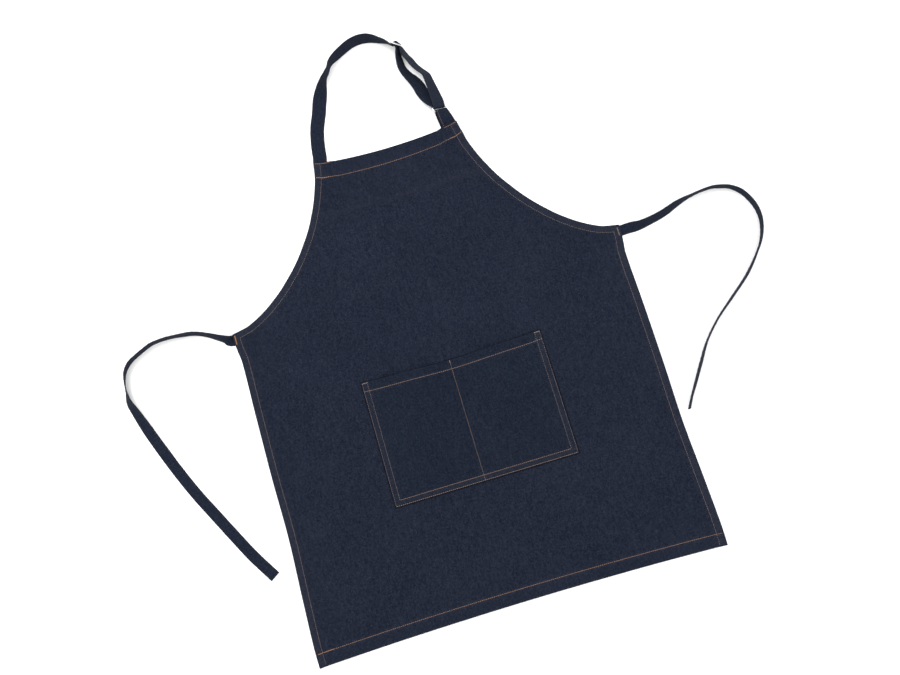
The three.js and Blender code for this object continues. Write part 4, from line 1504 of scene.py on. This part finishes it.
@dataclass(frozen=True)
class Denim:
    """Indigo denim: matt twill, paler where it is rubbed, with painted shade beside a patch."""

    name: str
    coordinates: Coordinates
    dark: Colour = (0.0023, 0.0044, 0.0119, 1.0)
    pale: Colour = (0.0182, 0.0229, 0.0374, 1.0)
    rubbed: Colour = (0.0470, 0.0450, 0.0560, 1.0)
    streak: float = 0.34
    fleck: float = 0.68
    cloud: float = 0.26
    rub: float = 0.5
    relief: float = 0.00016
    # Outline for the painted shade beside a patch, or None.
    patch: PatchPaintedShade | None = None

    def build(self, effects: SharedEffects) -> bpy.types.Material:
        """Make the material.

        Args:
            effects: the shared node groups.

        Returns:
            The material.
        """
        material, board, shader = start_material(self.name)
        where = board.add("ShaderNodeTexCoord").outputs[self.coordinates.value]
        twill = add_group(
            board, effects.twill,
            Vector=where, Streak=self.streak, Fleck=self.fleck, Cloud=self.cloud,
        )
        wear = board.add("ShaderNodeAttribute", attribute_name="wear").outputs["Fac"]
        rub = add_group(board, effects.rub, Vector=where, Wear=wear, Amount=self.rub)
        cloth = board.mix(twill.outputs["Pale"], self.dark, self.pale)
        cloth = board.mix(rub.outputs["Mask"], cloth, self.rubbed)
        # Painted shade: the cloth is mixed towards black just outside the patch's outline.
        if self.patch:
            cloth = board.mix(self.patch.mask(board, where), cloth, (0.0, 0.0, 0.0, 1.0))
        rough = board.stretch(twill.outputs["Pale"], 0.0, 1.0, 0.94, 0.82)
        board.bump(shader, twill.outputs["Height"], 0.7, self.relief)
        board.feed_all(shader, {
            "Base Color": cloth, "Roughness": rough, "Specular IOR Level": 0.05,
            "Sheen Weight": 0.02, "Sheen Roughness": 0.6,
        })
        return material


@dataclass(frozen=True)
class Thread:
    """Polyester sewing thread: twisted plies with a soft shine, greyer where it has faded."""

    name: str
    dark: Colour
    light: Colour
    faded: Colour

    def build(self) -> bpy.types.Material:
        """Make the material.

        Returns:
            The material.
        """
        material, board, shader = start_material(self.name)
        where = board.add("ShaderNodeTexCoord").outputs["Object"]
        ply = board.noise(where, (2600.0, 2600.0, 2600.0), 1.0)
        tone = board.noise(where, (90.0, 90.0, 90.0), 2.0)
        factor = board.math("MULTIPLY_ADD", tone, 0.4, board.stretch(ply, 0.3, 0.7, 0.0, 0.6))
        fading = board.add("ShaderNodeAttribute", attribute_name="faded").outputs["Fac"]
        colour = board.mix(fading, board.mix(factor, self.dark, self.light), self.faded)
        rough = board.stretch(ply, 0.3, 0.7, 0.62, 0.5)
        board.bump(shader, ply, 0.5, 0.00008)
        board.feed_all(shader, {
            "Base Color": colour, "Roughness": rough, "Specular IOR Level": 0.28,
        })
        return material


@dataclass(frozen=True)
class NickelWire:
    """Bright nickel plate, with fine scratches and a little tarnish."""

    name: str = "nickel_wire"
    bright: Colour = (0.56, 0.57, 0.59, 1.0)
    tarnished: Colour = (0.34, 0.33, 0.32, 1.0)

    def build(self) -> bpy.types.Material:
        """Make the material.

        Returns:
            The material.
        """
        material, board, shader = start_material(self.name)
        where = board.add("ShaderNodeTexCoord").outputs["Object"]
        scratch = board.noise(where, (900.0, 140.0, 900.0), 3.0, 0.7)
        spots = board.noise(where, (160.0, 160.0, 160.0), 3.0, 0.6)
        colour = board.mix(board.stretch(spots, 0.5, 0.8, 0.0, 0.7), self.bright, self.tarnished)
        rough = board.stretch(scratch, 0.3, 0.75, 0.16, 0.36)
        board.bump(shader, scratch, 0.2, 0.00005)
        board.feed_all(shader, {"Base Color": colour, "Roughness": rough, "Metallic": 1.0})
        return material


class Lamp(NamedTuple):
    """A soft square lamp: its place, its size and its power in watts."""

    name: str
    place: tuple[float, float, float]
    size: float
    power: float


@dataclass(frozen=True)
class Studio:
    """Pale floor, soft light and the camera."""

    spin: float = 0.0758463893
    tilt: float = 0.185969626
    roll: float = 0.216183302
    target: tuple[float, float, float] = (0.010478377, -0.107483593, 0.0)
    distance: float = 1.51711454
    lens: float = 36.0
    sensor: float = 36.0
    floor_half: float = 4.0
    floor_drop: float = 0.0001
    world_strength: float = 1.35
    lamps: tuple[Lamp, ...] = (
        Lamp("key", (-0.9, 1.1, 1.9), 1.2, 29.7), Lamp("fill", (1.4, -0.6, 1.8), 1.6, 12.2)
    )
    aim: tuple[float, float, float] = (0.0, -0.1, 0.0)

    def place_camera(self) -> None:
        """Set the camera over the apron, a little towards its hem, turned as the apron is seen."""
        spun = Matrix.Rotation(self.spin, 3, "Z")
        tilted = Matrix.Rotation(-self.tilt, 3, "X")
        rolled = Matrix.Rotation(self.roll, 3, "Z")
        turned = (rolled @ tilted @ spun).transposed()
        data = bpy.data.cameras.new("camera")
        data.lens = self.lens
        data.sensor_width = self.sensor
        data.clip_end = 50.0
        camera = add_object("camera", data)
        place = turned.to_4x4()
        place.translation = Vector(self.target) + turned @ Vector((0.0, 0.0, self.distance))
        camera.matrix_world = place
        bpy.context.scene.camera = camera

    def build_floor(self) -> bpy.types.Object:
        """Make the floor, a hair below the apron."""
        bm = bmesh.new()
        place = Matrix.Translation((0, 0, -self.floor_drop))
        bmesh.ops.create_grid(bm, x_segments=8, y_segments=8, size=self.floor_half, matrix=place)
        floor = new_piece("floor", bm)
        material, board, shader = start_material("floor_paper")
        where = board.add("ShaderNodeTexCoord").outputs["Object"]
        tone = board.noise(where, (3.0, 3.0, 3.0), 2.0)
        colour = board.mix(tone, (0.94, 0.94, 0.94, 1.0), (0.96, 0.96, 0.96, 1.0))
        board.feed_all(shader, {"Base Color": colour, "Roughness": 0.9, "Specular IOR Level": 0.1})
        floor.data.materials.append(material)
        return floor

    def light(self) -> None:
        """Light the scene with a white surround, a soft lamp from the upper left and a weaker one."""
        world = bpy.data.worlds.new("surround")
        world.use_nodes = True
        background = world.node_tree.nodes["Background"]
        background.inputs["Color"].default_value = (1.0, 1.0, 1.0, 1.0)
        background.inputs["Strength"].default_value = self.world_strength
        bpy.context.scene.world = world
        for lamp in self.lamps:
            data = bpy.data.lights.new(lamp.name, "AREA")
            data.size = lamp.size
            data.energy = lamp.power
            source = add_object(lamp.name, data)
            source.location = lamp.place
            facing = Vector(self.aim) - Vector(lamp.place)
            source.rotation_euler = facing.to_track_quat("-Z", "Y").to_euler()
        bpy.context.scene.view_settings.view_transform = "Standard"


@dataclass
class Apron:
    """The whole apron: its sub-assemblies, and how each piece is dressed and tied to the imported
    model.
    """

    panel: BodyPanel = field(default_factory=BodyPanel)
    pocket: PatchPocket = field(default_factory=PatchPocket)
    strap: NeckStrap = field(default_factory=NeckStrap)

    def dress(
        self, piece: bpy.types.Object, material: bpy.types.Material, node: str | None
    ) -> None:
        """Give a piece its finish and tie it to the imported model.

        Args:
            piece: the piece.
            material: its finish.
            node: the node that it replaces, or None.
        """
        piece.data.materials.append(material)
        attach(piece, "root")
        if node:
            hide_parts(node)
        log.info("%s: %d faces", piece.name, len(piece.data.polygons))

    def build_panel(
        self, denim: bpy.types.Material, thread: bpy.types.Material
    ) -> bpy.types.Object:
        cloth = self.panel.build()
        self.dress(cloth, denim, "body_panel")
        stitching = self.panel.sew()
        self.dress(stitching, thread, None)
        return cloth

    def build_pocket(
        self, denim: bpy.types.Material, thread: bpy.types.Material
    ) -> None:
        cloth = self.pocket.build()
        self.dress(cloth, denim, "pocket")
        stitching = self.pocket.sew()
        self.dress(stitching, thread, None)

    def build_strips(
        self, denim: bpy.types.Material, thread: bpy.types.Material, tab_thread: bpy.types.Material
    ) -> None:
        ties = [
            WaistTie(side, rows, reach, drop, self.panel.edge_point(side, 0.0))
            for side, rows, reach, drop in (
                (-1, LEFT_TIE, 0.198, 0.400), (1, RIGHT_TIE, 0.232, 0.340)
            )
        ]
        strips = [
            (self.strap.strap(), "neck_strap"),
            (self.strap.tab(), "strap_tab"),
            (ties[0].ribbon(), "waist_tie_left"),
            (ties[1].ribbon(), "waist_tie_right"),
        ]
        for ribbon, node in strips:
            cloth = ribbon.build()
            self.dress(cloth, denim, node)
            seam = Seam(ribbon.name.replace("cloth", "stitching"), radius=STRIP_THREAD_RADIUS)
            inside = ribbon.fold_side * (ribbon.width / 2 - ribbon.fold_inside)
            start, look = (0.55, TAB_ROW) if node == "strap_tab" else (0.02, STRIP_ROW)
            for face in (-1, 1):
                way, normals = ribbon.seam_way(inside, face, start, 0.995)
                seam.sew(way, look, normals)
            stitching = seam.build()
            self.dress(stitching, tab_thread if node == "strap_tab" else thread, None)

    def build_fittings(self, nickel: bpy.types.Material) -> None:
        """Make and dress the slider and the ring."""
        self.dress(self.strap.build_slider(), nickel, "strap_slider")
        self.dress(self.strap.build_ring(), nickel, "strap_ring")


def main() -> None:
    """Build the studio and the apron, piece by piece."""
    logging.basicConfig(level=logging.INFO, format="%(name)s: %(message)s")
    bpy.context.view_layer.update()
    studio = Studio()
    studio.place_camera()
    studio.build_floor()
    studio.light()
    effects = SharedEffects()
    apron = Apron()
    # The panel's denim has painted shade beside the pocket.
    cut_denim = Denim("denim_panel", Coordinates.FRAME, patch=apron.pocket.outline()).build(effects)
    pocket_denim = Denim(
        "denim_pocket", Coordinates.FRAME,
        dark=(0.0019, 0.0040, 0.0107, 1.0), pale=(0.0153, 0.0206, 0.0337, 1.0),
    ).build(effects)
    strip_denim = Denim("denim_strip", Coordinates.STRIP).build(effects)
    grey_tan = (0.235, 0.195, 0.185, 1.0)
    dark_blue = (0.014, 0.018, 0.032, 1.0)
    orange, indigo = (
        Thread(name, dark, light, faded).build() for name, dark, light, faded in (
            ("orange_thread", (0.24, 0.095, 0.028, 1.0), (0.48, 0.235, 0.080, 1.0), grey_tan),
            ("indigo_thread", (0.0074, 0.0104, 0.022, 1.0), (0.026, 0.031, 0.052, 1.0), dark_blue),
        )
    )
    panel = apron.build_panel(cut_denim, orange)
    apron.build_pocket(pocket_denim, orange)
    apron.build_strips(strip_denim, indigo, orange)
    apron.build_fittings(NickelWire().build())


if __name__ == "__main__":
    main()
